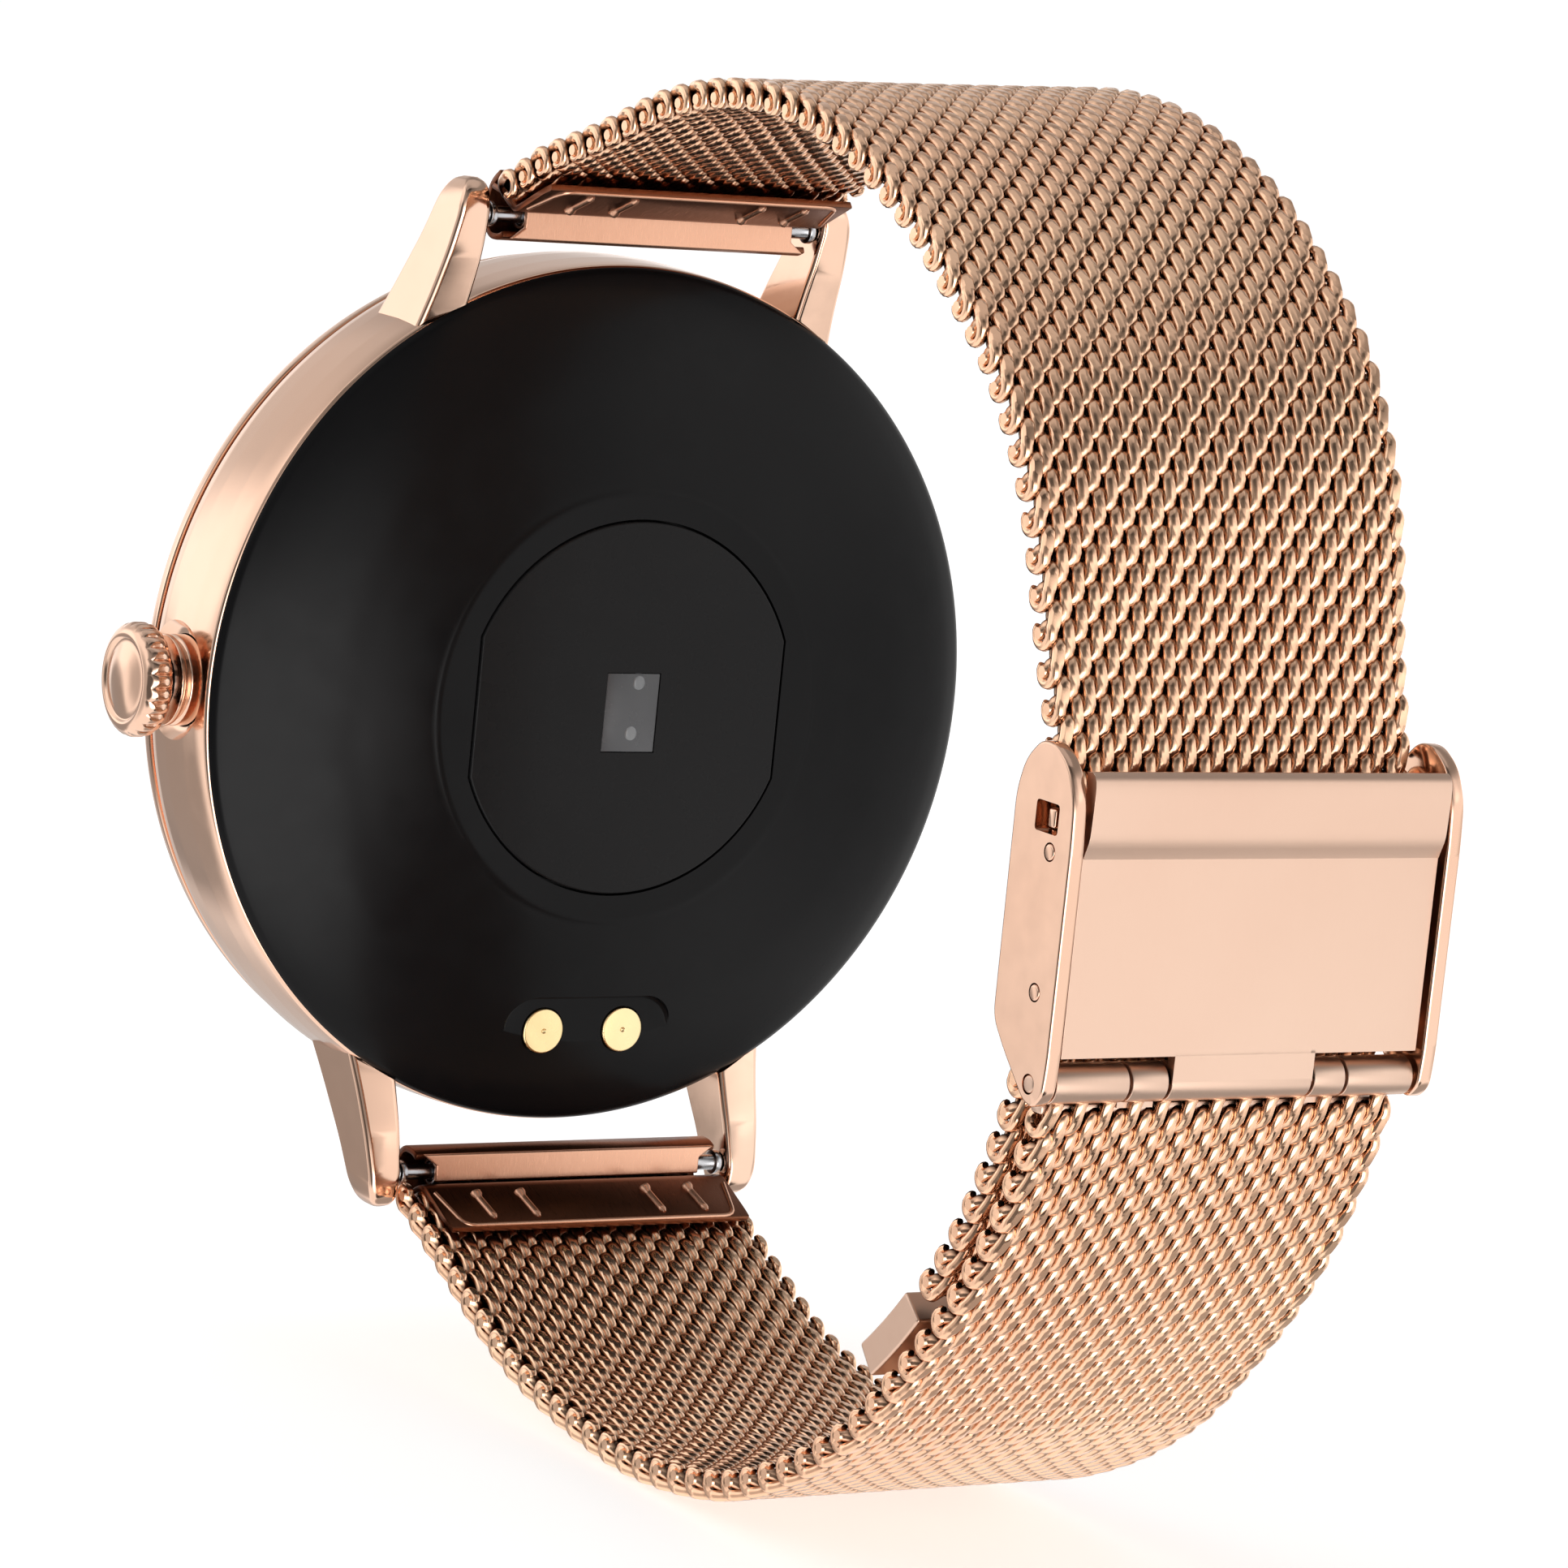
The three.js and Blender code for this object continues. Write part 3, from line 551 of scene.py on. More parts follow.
def build_straps():
    """The four runs of weave, each in three pieces of neighbouring wires."""
    upper = Track(strap_points([UPPER_RUN, TAIL_RUN], TAIL_END, TAIL_R), 1, TWIST)
    lower = Track(strap_points([LOWER_RUN, LAYER_RUN], 16.3, LAYER_R), -1)
    for track, split, hand, names in (
        (upper, on_loop(FLEX_ANGLE, FLEX_R), 1,
         (("strap_upper_lug", "upper_band"), ("strap_upper_tail", "tail_band"))),
        (lower, (on_loop(FLEX_ANGLE, FLEX_R)[0], -on_loop(FLEX_ANGLE, FLEX_R)[1]), -1,
         (("strap_lower_lug", "lower_band"), ("strap_lower_clasp", "clasp"))),
    ):
        middle = track.nearest(split)
        split_at = middle - 0.2
        parts = ((-0.8, split_at), (split_at, track.length - (0.9 if hand > 0 else -0.45)))
        for (node, body), (a, b) in zip(names, parts):
            wires = strap_wires(a, b, hand)
            third = math.ceil(len(wires) / 3)
            for part in range(3):
                group = wires[part * third:(part + 1) * third]
                obj = wire_mesh(f"{node}_weave_{part + 1}", group, track, hand < 0, WOVEN)
                shown(obj, body, "woven_rose", *([node] if part == 0 else []))


# ------------------------------------------------------------------ case

def case_wall():
    """The barrel-shaped wall, dished round the crown and drilled for its tube."""
    profile = rounded([
        (20.3, -3.9), (20.3, -3.42), (20.68, -3.38), (20.83, -3.5), (20.9, -4.3), (20.97, -5.5),
        (20.98, -7.3), (20.93, -8.4), (20.82, -9.0), (20.6, -9.4), (17.2, -9.4), (17.2, -8.9), (18.8, -8.7),
        (18.8, -4.35), (19.6, -4.35), (19.6, -3.9),
    ], 0.12, 3)
    wall = turned_object("case", profile, POLISHED, 288, closed=True)
    crown_at = (0, CROWN_Y, 0)
    dish = turned_object("dish", [(0, 20.3), (2.3, 20.3), (2.55, 20.45), (3.15, 21.2), (0, 21.2)], POLISHED,
                         64, axis="X", at=crown_at)
    boolean(wall, dish)
    hole = turned_object("hole", [(0, 17), (2.2, 17), (2.2, 23), (0, 23)], POLISHED, 48, axis="X",
                         at=crown_at)
    boolean(wall, hole)
    return shown(wall, "watch", "polished_rose", "case_body")


# A lug by height: (z, wrist-facing y), (z, front y), (z, inner x), (z, outer x).
LUG_BASE, LUG_TOP = 16.4, 24.65
LUG_BACK = [(16.4, -3.9), (21.2, -2.0), (23.1, -1.5), (24.1, -1.65), (24.5, -2.0), (24.65, -2.4)]
LUG_FRONT = [(16.4, -8.4), (18.9, -6.9), (21.8, -5.0), (24.0, -3.9), (24.5, -3.55), (24.65, -3.15)]
LUG_INNER = [(16.4, 9.05), (20.5, 9.05), (24.1, 9.2), (24.5, 9.3), (24.65, 9.5)]
LUG_OUTER = [(16.4, 11.6), (19.0, 11.2), (23.6, 10.75), (24.25, 10.5), (24.55, 10.25), (24.65, 10.0)]


def lug(side, end):
    """A slim four-sided lug with rounded edges, narrower towards its tip, cut to the case and the back."""
    lines = [np.array(rounded(line, 0.7, 5, closed=False))
             for line in (LUG_BACK, LUG_FRONT, LUG_INNER, LUG_OUTER)]
    heights = LUG_BASE + (LUG_TOP - LUG_BASE) * np.sin(np.linspace(0, math.pi / 2, 34))
    verts = []
    for z in heights:
        back, front, inner, outer = (np.interp(z, line[:, 0], line[:, 1]) for line in lines)
        corners = [(inner, front), (outer, front), (outer, back), (inner, back)]
        verts += [(side * x, y, end * z) for x, y in rounded(corners, 0.3, 4)]
    count = len(verts) // len(heights)
    name = f"lug_{'top' if end > 0 else 'bottom'}_{'left' if side > 0 else 'right'}"
    obj = mesh_object(name, verts, tube_faces(len(heights), count), POLISHED, 30)
    room = turned_object("room", [(0, -9.5), (18.9, -9.5), (18.9, -4.3), (19.65, -4.3), (19.65, -3.4),
                                  (20.78, -3.4), (20.78, 2), (0, 2)], POLISHED, 288)
    boolean(obj, room, sharp=30)
    hole = turned_object("hole", [(0, -10.5), (0.48, -10.5), (0.48, 10.5), (0, 10.5)], POLISHED, 32, axis="X",
                         at=(0, BAR_Y, end * BAR_Z))
    boolean(obj, hole, sharp=30)
    return shown(weighted(obj), "watch", "polished_rose")


def build_case():
    case_wall()
    for side in (1, -1):
        for end in (1, -1):
            lug(side, end)
    bezel = rounded([(18.65, -9.62), (20.72, -9.62), (20.62, -10.3), (19.95, -11.1), (19.3, -11.38),
                     (18.65, -11.3)], 0.15, 3)
    shown(turned_object("bezel", bezel, POLISHED, 288, closed=True), "watch", "polished_rose", "bezel_ring")
    glass = rounded([(0, -9.95), (18.4, -9.95), (18.4, -11.0), (18.0, -11.4), (0, -11.4)], 0.25, 4,
                    closed=False)
    shown(turned_object("glass", glass, GLASS, 288), "watch", "front_glass", "display_glass")


# ------------------------------------------------------------------ back

def window_outline(clearance, steps=40):
    r, flat = 9.0 + clearance, 8.35 + clearance
    half = math.asin(flat / r)
    out = []
    for centre in (math.pi / 2, -math.pi / 2):
        for i in range(steps + 1):
            a = centre + half * (1 - 2 * i / steps)
            out.append((r * math.cos(a), r * math.sin(a)))
    return out


def stadium(half_length, half_width, x, z, steps=24):
    out = []
    for side in (1, -1):
        for i in range(steps + 1):
            a = math.pi * (0.5 - i / steps + (1 if side < 0 else 0))
            out.append((x + side * (half_length - half_width) + half_width * math.cos(a),
                        z + half_width * math.sin(a)))
    return out


def build_back():
    knots = [(0, -0.06), (4, -0.06), (9.9, -0.06), (10.5, -0.11), (11.2, -0.24), (12.4, -0.50), (14.0, -0.86),
             (16.0, -1.33), (18.0, -1.93), (19.4, -2.44), (20.3, -2.86), (20.66, -3.08), (20.74, -3.24)]
    skin = [tuple(p) for p in catmull(knots, 90)]
    profile = skin + [(20.68, -3.36), (18.65, -3.36), (18.65, -3.85), (17.6, -3.85), (17.6, -3.1),
                      (14.0, -2.1), (10.0, -1.55), (0, -1.55)]
    dome = turned_object("back_cover", profile, SHELL, 256)
    boolean(dome, from_bmesh("pocket", prism(window_outline(0.11), -1.35, 1, "Y"), SHELL))
    recess = bevel(prism(stadium(4.7, 1.75, -0.2, CONTACT_Z), -1.48, 0.4, "Y"), 0.25, 4, 60)
    boolean(dome, from_bmesh("recess", recess, SHELL))
    for side in (-1, 1):
        boolean(dome, turned_object("well", [(0, -1.95), (1.16, -1.95), (1.16, 0), (0, 0)], SHELL, 48,
                                    at=(side * CONTACT_X, 0, CONTACT_Z)))
    shown(dome, "watch", "black_shell", "rear_cover")

    disc = bevel(prism(window_outline(0), -1.2, 0, "Y"), 0.09, 3, 60)
    disc = from_bmesh("sensor_disc", disc, WINDOW)
    boolean(disc, from_bmesh("pane", prism([(-1.58, -2.13), (1.38, -2.13), (1.38, 1.73), (-1.58, 1.73)],
                                           -0.25, 1, "Y"), WINDOW))
    shown(disc, "watch", "dark_window", "sensor_window")
    pane = bevel(prism([(-1.55, -2.1), (1.35, -2.1), (1.35, 1.7), (-1.55, 1.7)], -0.24, -0.02, "Y"), 0.05, 2)
    shown(from_bmesh("optical_pane", pane, OPTIC), "watch", "dark_window", "optical_window")
    for i, (x, z) in enumerate([(-0.4, 1.25), (-0.2, -1.2)]):
        bump = catmull([(0, 0.02), (0.25, 0.0), (0.45, -0.06), (0.5, -0.1)], 14)
        shown(turned_object(f"led_lens_{i + 1}", bump, LENS, 40, at=(x, 0, z)), "watch", "dark_window")

    for name, side in (("left", 1), ("right", -1)):
        pin = rounded([(0, -4.6), (0.6, -4.6), (0.6, -1.9), (1.1, -1.9), (1.1, -1.38), (0.12, -1.36),
                       (0.07, -1.42), (0, -1.43)], 0.1, 4, closed=False)
        shown(turned_object(f"contact_pin_{name}", pin, GOLD, 64, at=(side * CONTACT_X, 0, CONTACT_Z)),
              "watch", "gold", f"contact_{name}")


# ------------------------------------------------------------------ crown

def build_crown():
    profile = [(0, 22.7), (0.9, 22.7), (0.9, 22.1), (2.3, 22.1), (2.5, 22.16), (2.62, 22.3), (2.68, 22.45),
               (2.7, 22.65), (2.7, 22.85), (2.7, 23.0), (2.66, 23.14), (2.56, 23.3), (2.42, 23.42),
               (2.24, 23.51), (2.1, 23.53), (1.98, 23.5), (1.92, 23.42), (1.84, 23.4), (1.6, 23.48),
               (1.2, 23.6), (0.8, 23.67), (0.4, 23.7), (0, 23.71)]
    depth = [0, 0, 0, 0, 0.6, 1, 1, 1, 1, 0.9, 0.45, 0.1] + [0] * 11
    segments, flutes = 24 * 12, 24
    verts, faces = turned(profile, segments, axis="X", at=(0, CROWN_Y, 0))
    verts = verts.reshape(len(profile), segments, 3)
    angle = np.arange(segments) * 2 * math.pi / segments
    groove = np.abs(np.sin(angle * flutes / 2)) ** 0.55
    for i, amount in enumerate(depth):
        shrink = 1 - amount * 0.20 * (1 - groove) / max(profile[i][0], 1e-6)
        verts[i, :, 1] = CROWN_Y + (verts[i, :, 1] - CROWN_Y) * shrink
        verts[i, :, 2] *= shrink
    head = mesh_object("crown_knob", verts.reshape(-1, 3), faces, POLISHED, 40)
    shown(head, "crown", "polished_rose", "crown_head")
    collar = rounded([(0.85, 18.9), (1.55, 18.9), (1.55, 20.3), (2.15, 20.3), (2.15, 21.0), (1.95, 21.12),
                      (2.15, 21.24), (2.15, 21.5), (1.35, 21.5), (1.35, 20.4), (0.85, 20.4)], 0.06, 3)
    shown(turned_object("crown_collar", collar, POLISHED, 96, closed=True, axis="X", at=(0, CROWN_Y, 0)),
          "watch", "polished_rose", "crown_tube")


# ------------------------------------------------------------------ spring bars and clips

def clip_sheet(path, half, thickness=0.32):
    smooth = rounded(path, 0.5, 5, closed=False)
    return bevel(prism(ribbon(smooth, thickness), -half, half), 0.07, 2, 50)


CLIP_HALF = 8.35
LIP_HALF = 7.35
PLATE_END = 2.6                # how far the ribbed plate reaches over the strap


def end_clip(end):
    """The folded sheet that ties a strap end to its spring bar: back fold, lip over the bar, ribbed plate."""
    name = "top" if end > 0 else "bottom"
    body = "upper_band" if end > 0 else "lower_band"
    outer = [(-1.75, 22.15), (-2.2, 21.95), (-2.95, 21.93), (-3.45, 22.3), (-3.62, 23.0), (-3.52, 23.8),
             (-3.15, 24.5), (-2.5, 24.95)]
    fold = clip_sheet([(y, end * z) for y, z in outer], CLIP_HALF)
    # painted shade: the fold is drawn in the darkened copy of the copper
    fold = from_bmesh(f"clip_{name}_fold", fold, SHADED_COPPER)
    shown(fold, body, "copper_clip", f"end_clip_{name}")
    inner = [(-3.3, 24.3), (-2.2, 24.1), (-1.6, 23.7), at_end(-0.7, -1.15), at_end(PLATE_END, -1.15)]
    plate = clip_sheet([(y, end * z) for y, z in inner], CLIP_HALF)
    # painted shade: the plate is drawn in the darkened copy of the copper too
    plate = from_bmesh(f"clip_{name}_plate", plate, SHADED_COPPER)
    for side in (-1, 1):
        wedge = [(side * CLIP_HALF, end * 24.3), (side * 7.5, end * 27.6), (side * 9.6, end * 27.6),
                 (side * 9.6, end * 24.3)]
        boolean(plate, from_bmesh("corner", prism(wedge, -4, 5, "Y"), COPPER))
    shown(plate, body, "copper_clip")
    lip = [(-LIP_HALF - 0.75, end * 21.95), (LIP_HALF + 0.75, end * 21.95), (LIP_HALF, end * 22.5),
           (LIP_HALF, end * 23.3), (-LIP_HALF, end * 23.3), (-LIP_HALF, end * 22.5)]
    lip = from_bmesh(f"clip_{name}_lip", bevel(prism(lip, -1.68, -1.4, "Y"), 0.09, 3, 50), COPPER)
    shown(weighted(lip), body, "copper_clip")
    rim = [(-8.05, 0.0), (-7.5, PLATE_END - 0.15), (7.5, PLATE_END - 0.15), (8.05, 0.0)]
    rim = [(x, *at_end(t, -1.3)) for x, t in rim]
    rim = np.array([(x, y, end * z) for x, y, z in rounded(rim, 0.6, 4, closed=False)])
    shown(round_bar(f"clip_{name}_rim", rim, np.full(len(rim), 0.11), COPPER), body, "copper_clip")
    for i, x in enumerate((-5.9, -3.5, 3.5, 5.9)):
        (y0, z0), (y1, z1) = at_end(0.1, -1.28), at_end(2.0, -1.28)
        line = np.array([(x, y0, end * z0), (x - 0.03, y0 * 0.8 + y1 * 0.2, end * (z0 * 0.8 + z1 * 0.2)),
                         (x - 0.25, y1, end * z1)])
        radii = [0.3, 0.3] + [0.2] * 9 + [0.1]
        rib = round_bar(f"clip_{name}_rib_{i + 1}", resample(line, 12), radii, COPPER)
        shown(rib, body, "copper_clip")


def round_bar(name, line, radii, material, sides=12):
    """A bar along a line of x, y, z points with a radius at each."""
    line = np.asarray(line, float)
    step = np.gradient(line, axis=0)
    step /= np.linalg.norm(step, axis=1)[:, None]
    a = np.cross(step, np.array([0.15, 0.8, 0.2]))
    a /= np.linalg.norm(a, axis=1)[:, None]
    b = np.cross(step, a)
    angle = np.arange(sides) * 2 * math.pi / sides
    r = np.asarray(radii, float)[:, None, None]
    c, s = np.cos(angle)[None, :, None], np.sin(angle)[None, :, None]
    verts = line[:, None] + r * (c * a[:, None] + s * b[:, None])
    return mesh_object(name, verts.reshape(-1, 3), tube_faces(len(line), sides), material, 60)


def build_bars():
    for name, end, body in (("top", 1, "upper_band"), ("bottom", -1, "lower_band")):
        end_clip(end)
        at = (0, BAR_Y, end * BAR_Z)
        sleeve = rounded([(0.5, -7.2), (0.65, -7.2), (0.65, 7.2), (0.5, 7.2)], 0.06, 2)
        shown(turned_object(f"bar_tube_{name}", sleeve, STEEL, 40, closed=True, axis="X", at=at),
              body, "steel", f"spring_bar_{name}")
        for hand, side in (("left", 1), ("right", -1)):
            pin = rounded([(0, 6.2), (0.44, 6.2), (0.44, 7.1), (0.38, 7.1), (0.38, 8.65), (0.6, 8.65),
                           (0.6, 8.95), (0.38, 8.95), (0.38, 10.3), (0.25, 10.45), (0, 10.45)], 0.05, 2,
                          closed=False)
            pin = [(r, side * h) for r, h in pin]
            shown(turned_object(f"sprung_pin_{name}_{hand}", pin, STEEL, 40, axis="X", at=at),
                  f"pin_{name}_{hand}", "steel", f"bar_pin_{name}_{hand}")


# ------------------------------------------------------------------ clasp

PLATE = [
    (47.15, 5.0), (47.6, 6.4), (48.6, 7.3), (49.6, 7.3), (50.7, 6.6), (51.35, 5.2), (51.45, 3.4),
    (51.4, -5.6), (51.25, -7.0), (50.6, -7.6), (49.9, -7.4), (48.2, -5.7), (47.2, -4.5),
]
TONGUE = (-3.8, 3.35)
LINK_KNUCKLES = ((-5.55, -3.95), (3.5, 5.3))
SLEEVES = (("right", (-9.1, -5.7)), ("left", (5.45, 9.1)))


def clasp_frame():
    """Two side plates, slotted for the lock and drilled for the pins, and the floor between them."""
    outline = rounded(PLATE, 0.6, 5)
    for name, side in (("left", 1), ("right", -1)):
        x0, x1 = sorted((side * 9.25, side * 9.95))
        plate = from_bmesh(f"clasp_side_{name}", bevel(prism(outline, x0, x1), 0.12, 3, 50), POLISHED)
        slot = bevel(prism([(48.75, 3.62), (50.4, 3.62), (50.4, 4.9), (48.75, 4.9)], -12, 12), 0.15, 2, 60)
        boolean(plate, from_bmesh("slot", slot, POLISHED))
        for y, z, r in ((GUIDE_Y, GUIDE_Z, 0.4), (GUIDE_Y, -GUIDE_Z, 0.4), (HINGE_Y, HINGE_Z, 0.43)):
            drill = [(0, -12), (r, -12), (r, 12), (0, 12)]
            boolean(plate, turned_object("hole", drill, POLISHED, 32, axis="X", at=(0, y, z)))
        shown(weighted(plate), "clasp", "polished_rose", *(["clasp_frame"] if side > 0 else []))
    floor = bevel(prism([(46.72, -4.4), (47.2, -4.4), (47.2, 4.9), (46.72, 4.9)], -9.35, 9.35), 0.08, 2)
    shown(from_bmesh("clasp_floor", floor, POLISHED), "clasp", "polished_rose")


def clasp_cover():
    """The satin cover with its raised lip, and the tongue and knuckle that hold it to the hinge pin."""
    outer_y = COVER_Y + COVER_T
    top = [(outer_y, -5.45), (outer_y, 2.2), (outer_y + 0.03, 2.8), (COVER_Y + 0.85, 3.5),
           (COVER_Y + 0.93, 4.0), (COVER_Y + 0.97, 5.6), (COVER_Y + 0.85, 6.2), (COVER_Y + 0.6, 6.4)]
    under = [(COVER_Y + 0.2, 6.35), (COVER_Y + 0.3, 5.9), (COVER_Y + 0.25, 3.8), (COVER_Y, 2.8),
             (COVER_Y, -5.45)]
    profile = [tuple(p) for p in catmull(top, 50)] + under
    plate = from_bmesh("cover_plate", bevel(prism(profile, -9.05, 9.05), 0.06, 3, 50), SATIN)
    shown(weighted(plate), "cover", "satin_rose", "clasp_cover")
    tongue = [(COVER_Y + 0.02, -5.2), (HINGE_Y + 0.45, HINGE_Z + 0.4), (HINGE_Y + 0.45, HINGE_Z),
              (HINGE_Y + 0.84, HINGE_Z), (outer_y, -5.9), (outer_y, -5.2)]
    shown(from_bmesh("cover_tongue", prism(tongue, *TONGUE), SATIN), "cover", "satin_rose")
    shown(hinge_tube("cover_knuckle", TONGUE), "cover", "satin_rose")


def hinge_tube(name, span):
    """A short tube round the hinge pin, from one x to the other."""
    x0, x1 = span
    wall = rounded([(0.43, x0), (0.85, x0), (0.85, x1), (0.43, x1)], 0.07, 3)
    return turned_object(name, wall, SATIN, 64, closed=True, axis="X", at=(0, HINGE_Y, HINGE_Z))


def clasp_hinge():
    """The sleeves of the frame and the end link of the lower strap on the same pin."""
    for name, span in SLEEVES:
        shown(hinge_tube(f"hinge_sleeve_{name}", span), "clasp", "satin_rose", f"clasp_sleeve_{name}")
    bar = bevel(prism([(49.1, -8.05), (49.9, -8.05), (49.9, -7.65), (49.1, -7.65)], -8.9, 8.9), 0.1, 2)
    shown(from_bmesh("link_bar", bar, SATIN), "clasp", "satin_rose", "end_link")
    for i, span in enumerate(LINK_KNUCKLES):
        shown(hinge_tube(f"link_knuckle_{i + 1}", span), "clasp", "satin_rose")
        web = prism([(49.3, -7.8), (50.1, -7.8), (50.1, -7.2), (49.3, -7.2)], *span)
        shown(from_bmesh(f"link_web_{i + 1}", web, SATIN), "clasp", "satin_rose")


def clasp_pins():
    """The hinge pin, the two guide pins and the lock bar in its slots."""
    for node, r, half, y, z, material, slot in (
        ("hinge_pin", 0.38, 9.95, HINGE_Y, HINGE_Z, SATIN, "steel"),
        ("guide_pin_upper", 0.35, 10.0, GUIDE_Y, GUIDE_Z, POLISHED, "polished_rose"),
        ("guide_pin_lower", 0.35, 10.0, GUIDE_Y, -GUIDE_Z, POLISHED, "polished_rose"),
    ):
        rod = rounded([(0, -half), (r, -half), (r, half), (0, half)], 0.12, 4, closed=False)
        shown(turned_object(f"{node}_rod", rod, material, 40, axis="X", at=(0, y, z)), "clasp", slot, node)
    lock = bevel(prism([(49.5, 3.85), (50.0, 3.85), (50.0, 4.65), (49.5, 4.65)], -9.85, 9.85), 0.1, 3)
    shown(from_bmesh("lock_rail", lock, POLISHED), "lock", "polished_rose", "lock_bar")


def tail_cap():
    """The solid cap on the tail of the upper strap, inside the loop."""
    cap = ribbon([on_loop(a, TAIL_R) for a in np.linspace(TAIL_END - 0.5, CAP_END, 17)], 1.56)
    cap = from_bmesh("end_cap", bevel(prism(cap, -9.0, 9.0), 0.14, 3, 50), SATIN)
    shown(weighted(cap), "tail_band", "satin_rose", "tail_end_cap")


def build_clasp():
    clasp_frame()
    clasp_cover()
    clasp_hinge()
    clasp_pins()
    tail_cap()


# ------------------------------------------------------------------ CAD nodes kept

KEPT = {
    "display_adhesive": RUBBER, "display_module": DISPLAY, "rear_gasket": RUBBER, "sensor_board": BOARD,
    "photodiode": DISPLAY, "led_upper": LED, "led_lower": LED, "magnet_left": STEEL, "magnet_right": STEEL,
    "inner_frame": DISPLAY, "main_board": BOARD, "processor_shield": STEEL, "battery": CELL,
    "board_screw_1": STEEL, "board_screw_2": STEEL, "board_screw_3": STEEL, "board_screw_4": STEEL,
    "motor_can": STEEL, "motor_rotor": STEEL, "crown_stem": STEEL, "stem_clip": STEEL, "crown_seal": RUBBER,
    "crown_switch": DISPLAY, "switch_plunger": STEEL, "bar_spring_top": STEEL, "bar_spring_bottom": STEEL,
}


def dress_kept():
    for name, material in KEPT.items():
        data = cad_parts[name].data
        data.materials.clear()
        data.materials.append(material)


# ------------------------------------------------------------------ studio

# How bright the surroundings are: direction, cosines where a stretch starts and is full, its level there.
LEVEL = 1.30
STRETCHES = (
    ((0.90, 0.42, -0.10), 0.82, 0.93, 0.12),
    ((0.31, 0.62, 0.72), 0.62, 0.85, 0.30),
    ((0.92, -0.36, -0.12), 0.86, 0.985, 0.50),
    ((0.30, -0.90, -0.32), 0.945, 0.978, 0.32),
    ((0.50, -0.85, 0.15), 0.965, 0.99, 1.25),
    ((-0.20, 0.0, 0.98), 0.45, 0.85, 0.24),
    ((-0.30, 0.64, -0.71), 0.974, 0.984, 0.04),
    ((-0.53, 0.10, -0.84), 0.85, 0.96, 0.36),
    ((-0.45, -0.75, 0.45), 0.88, 0.97, 0.50),
    ((0.0, 0.85, 0.53), 0.848, 0.872, 0.65),
    ((-0.53, 0.72, 0.45), 0.965, 0.99, 1.3),
    ((-0.90, 0.39, -0.155), 0.93, 0.99, 0.60),
    ((0.25, 0.95, -0.155), 0.80, 0.94, 3.2),
    ((0.15, -0.83, 0.53), 0.90, 0.98, 0.60),
    ((-0.3, -0.83, -0.47), 0.86, 0.98, 0.50),
)


def light_level(tree):
    """The brightness of the surroundings by direction."""
    place = tree.nodes.new("ShaderNodeTexCoord").outputs["Generated"]
    level = None
    for direction, low, high, amount in STRETCHES:
        dot = tree.nodes.new("ShaderNodeVectorMath")
        dot.operation = "DOT_PRODUCT"
        dot.inputs[1].default_value = Vector(direction).normalized()
        tree.links.new(place, dot.inputs[0])
        soft = tree.nodes.new("ShaderNodeMapRange")
        soft.interpolation_type = "SMOOTHSTEP"
        for key, value in (("From Min", low), ("From Max", high), ("To Min", 1.0), ("To Max", amount)):
            soft.inputs[key].default_value = value
        tree.links.new(dot.outputs["Value"], soft.inputs["Value"])
        times = tree.nodes.new("ShaderNodeMath")
        times.operation = "MULTIPLY"
        times.inputs[0].default_value = LEVEL
        if level:
            tree.links.new(level, times.inputs[0])
        tree.links.new(soft.outputs[0], times.inputs[1])
        level = times.outputs[0]
    return level


def surroundings():
    """A pale room all round: plain white where the camera looks, uneven where metal mirrors it."""
    world = bpy.data.worlds.new("studio")
    bpy.context.scene.world = world
    world.use_nodes = True
    tree = world.node_tree
    lit, seen = tree.nodes["Background"], tree.nodes.new("ShaderNodeBackground")
    seen.inputs["Color"].default_value = (1, 1, 1, 1)
    tree.links.new(light_level(tree), lit.inputs["Strength"])
    lit.inputs["Color"].default_value = (1.0, 0.985, 0.97, 1)
    pick = tree.nodes.new("ShaderNodeMixShader")
    tree.links.new(tree.nodes.new("ShaderNodeLightPath").outputs["Is Camera Ray"], pick.inputs[0])
    tree.links.new(lit.outputs[0], pick.inputs[1])
    tree.links.new(seen.outputs[0], pick.inputs[2])
    tree.links.new(pick.outputs[0], tree.nodes["World Output"].inputs["Surface"])


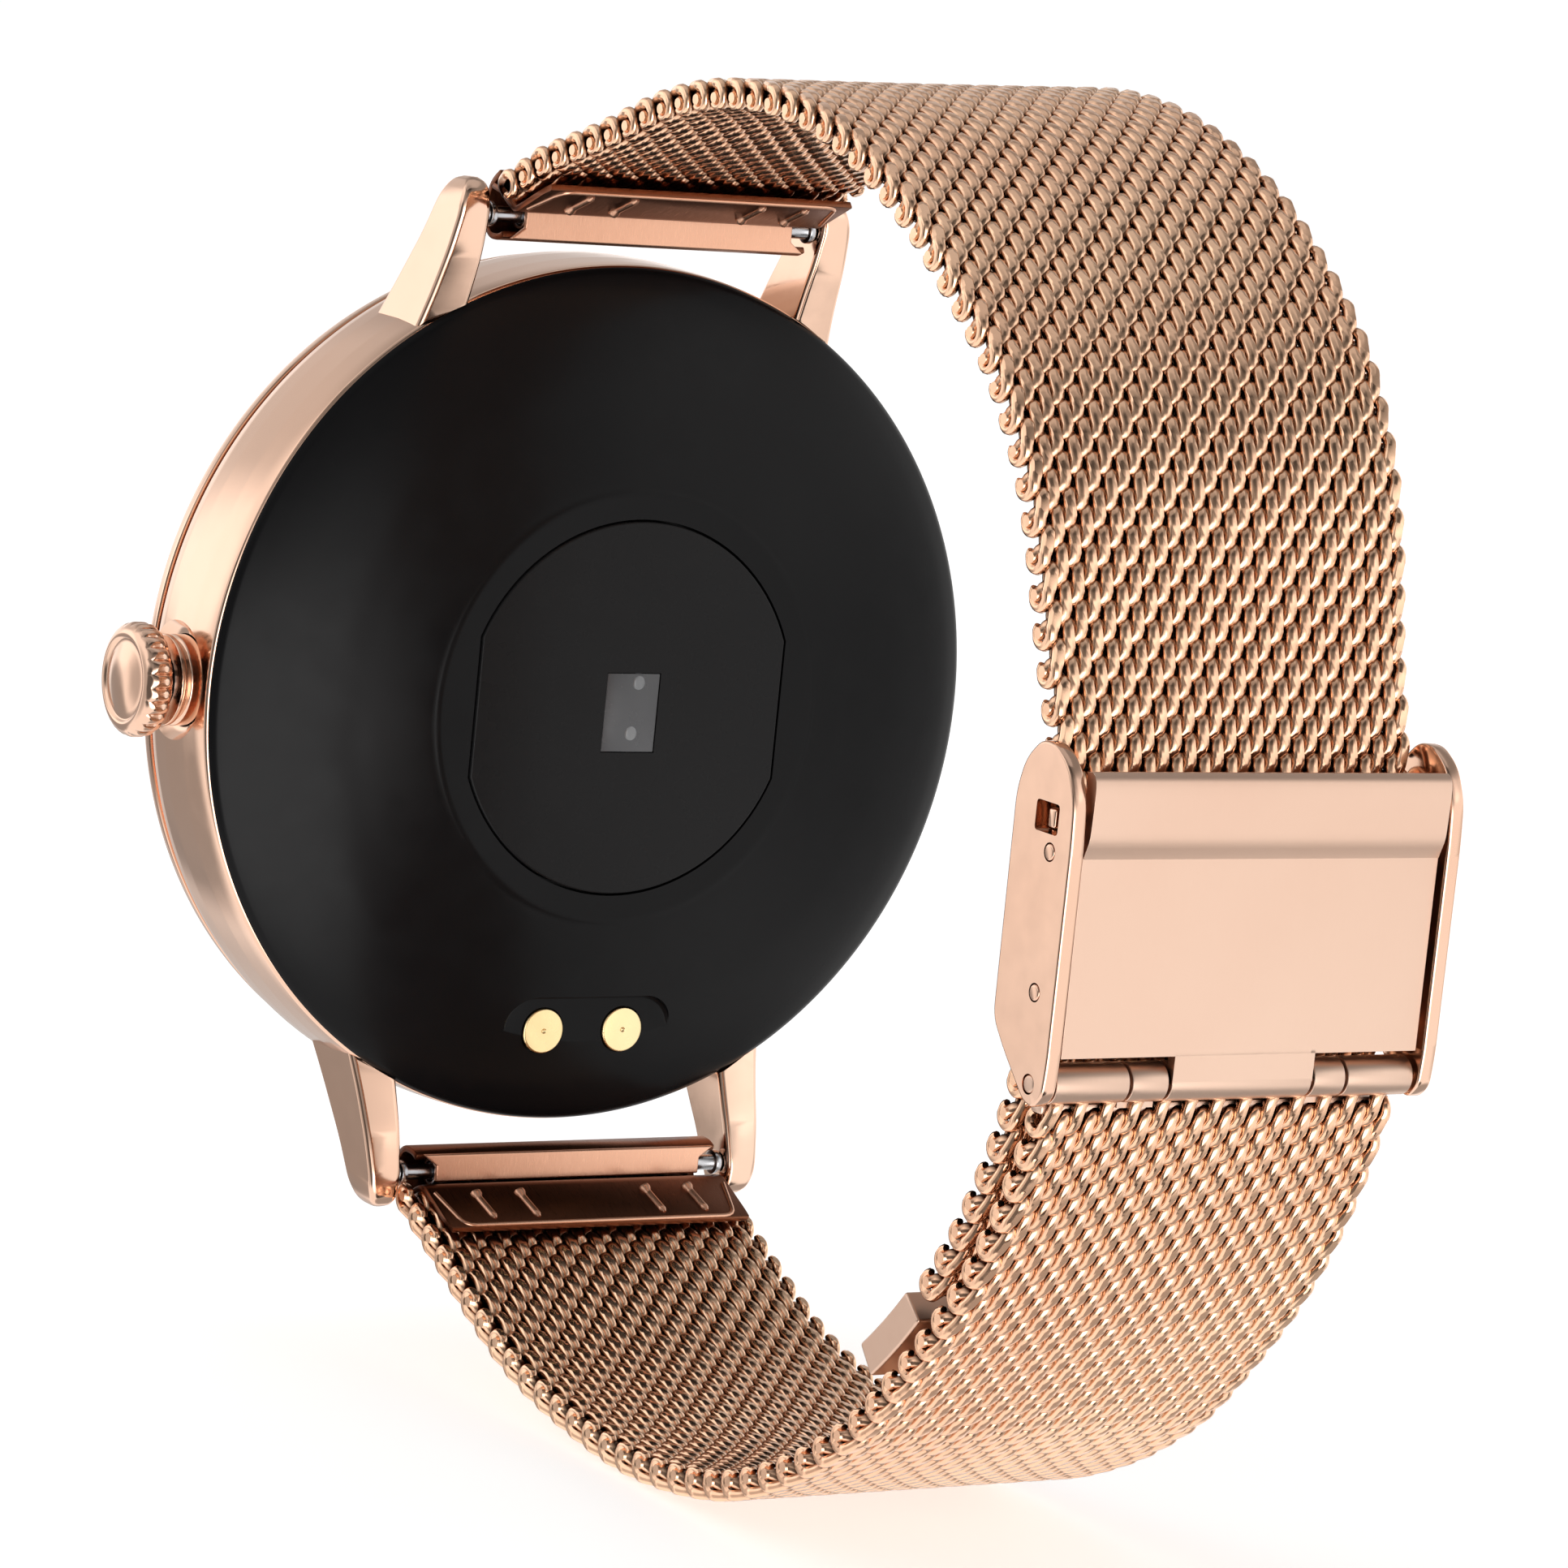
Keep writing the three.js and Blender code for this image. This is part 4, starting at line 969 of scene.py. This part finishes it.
def pale_floor():
    data = bpy.data.meshes.new("floor")
    size, z = 3.0, cad_box[0].z - 0.0002
    corners = [(-size, -size, z), (size, -size, z), (size, size, z), (-size, size, z)]
    data.from_pydata(corners, [], [(0, 1, 2, 3)])
    n = Nodes("pale_floor")
    tone = n.mixed(n.ranged(n.noise(3.0), 0, 1), (0.92, 0.92, 0.92), (0.94, 0.94, 0.94))
    n.link(tone, n.bsdf.inputs["Base Color"])
    n.bsdf.inputs["Roughness"].default_value = 0.9
    n.bsdf.inputs["Specular IOR Level"].default_value = 0.1
    n.bsdf.inputs["Emission Color"].default_value = (1, 1, 1, 1)
    n.bsdf.inputs["Emission Strength"].default_value = 0.55
    data.materials.append(n.mat)
    floor = bpy.data.objects.new("floor", data)
    floor.visible_glossy = False
    bpy.context.scene.collection.objects.link(floor)


def area_light(name, at, aim, size, power):
    light = bpy.data.lights.new(name, "AREA")
    light.shape = "RECTANGLE"
    light.size, light.size_y = size
    light.energy = power
    obj = bpy.data.objects.new(name, light)
    obj.location = at
    obj.rotation_mode = "QUATERNION"
    obj.rotation_quaternion = (Vector(aim) - Vector(at)).to_track_quat("-Z", "Y")
    bpy.context.scene.collection.objects.link(obj)


def lights():
    centre = (0.0, 0.02, 0.0)
    area_light("overhead", (0.0, -0.05, 0.6), centre, (0.7, 0.7), 0.5)


CAMERA_AT = Vector((159.7, 262.9, 45.3)) * MM
CAMERA_AZIMUTH, CAMERA_ELEVATION, CAMERA_ROLL = (math.radians(a) for a in (147.29, 8.90, 5.817))


def camera():
    data = bpy.data.cameras.new("camera")
    data.sensor_width = 36.0
    data.lens = 149.7
    data.clip_start, data.clip_end = 0.01, 20.0
    obj = bpy.data.objects.new("camera", data)
    a, e = CAMERA_AZIMUTH, CAMERA_ELEVATION
    back = Vector((math.sin(a) * math.cos(e), -math.cos(a) * math.cos(e), math.sin(e)))
    right = (-back).cross(Vector((0, 0, 1))).normalized()
    up = right.cross(-back)
    c, s = math.cos(CAMERA_ROLL), math.sin(CAMERA_ROLL)
    x_axis, y_axis = c * right + s * up, c * up - s * right
    obj.matrix_world = Matrix((
        (x_axis.x, y_axis.x, back.x, CAMERA_AT.x),
        (x_axis.y, y_axis.y, back.y, CAMERA_AT.y),
        (x_axis.z, y_axis.z, back.z, CAMERA_AT.z),
        (0, 0, 0, 1),
    ))
    bpy.context.scene.collection.objects.link(obj)
    bpy.context.scene.camera = obj


bpy.context.scene.view_settings.view_transform = "Standard"
surroundings()
pale_floor()
lights()
camera()
build_case()
build_back()
build_crown()
build_bars()
build_clasp()
build_straps()
dress_kept()
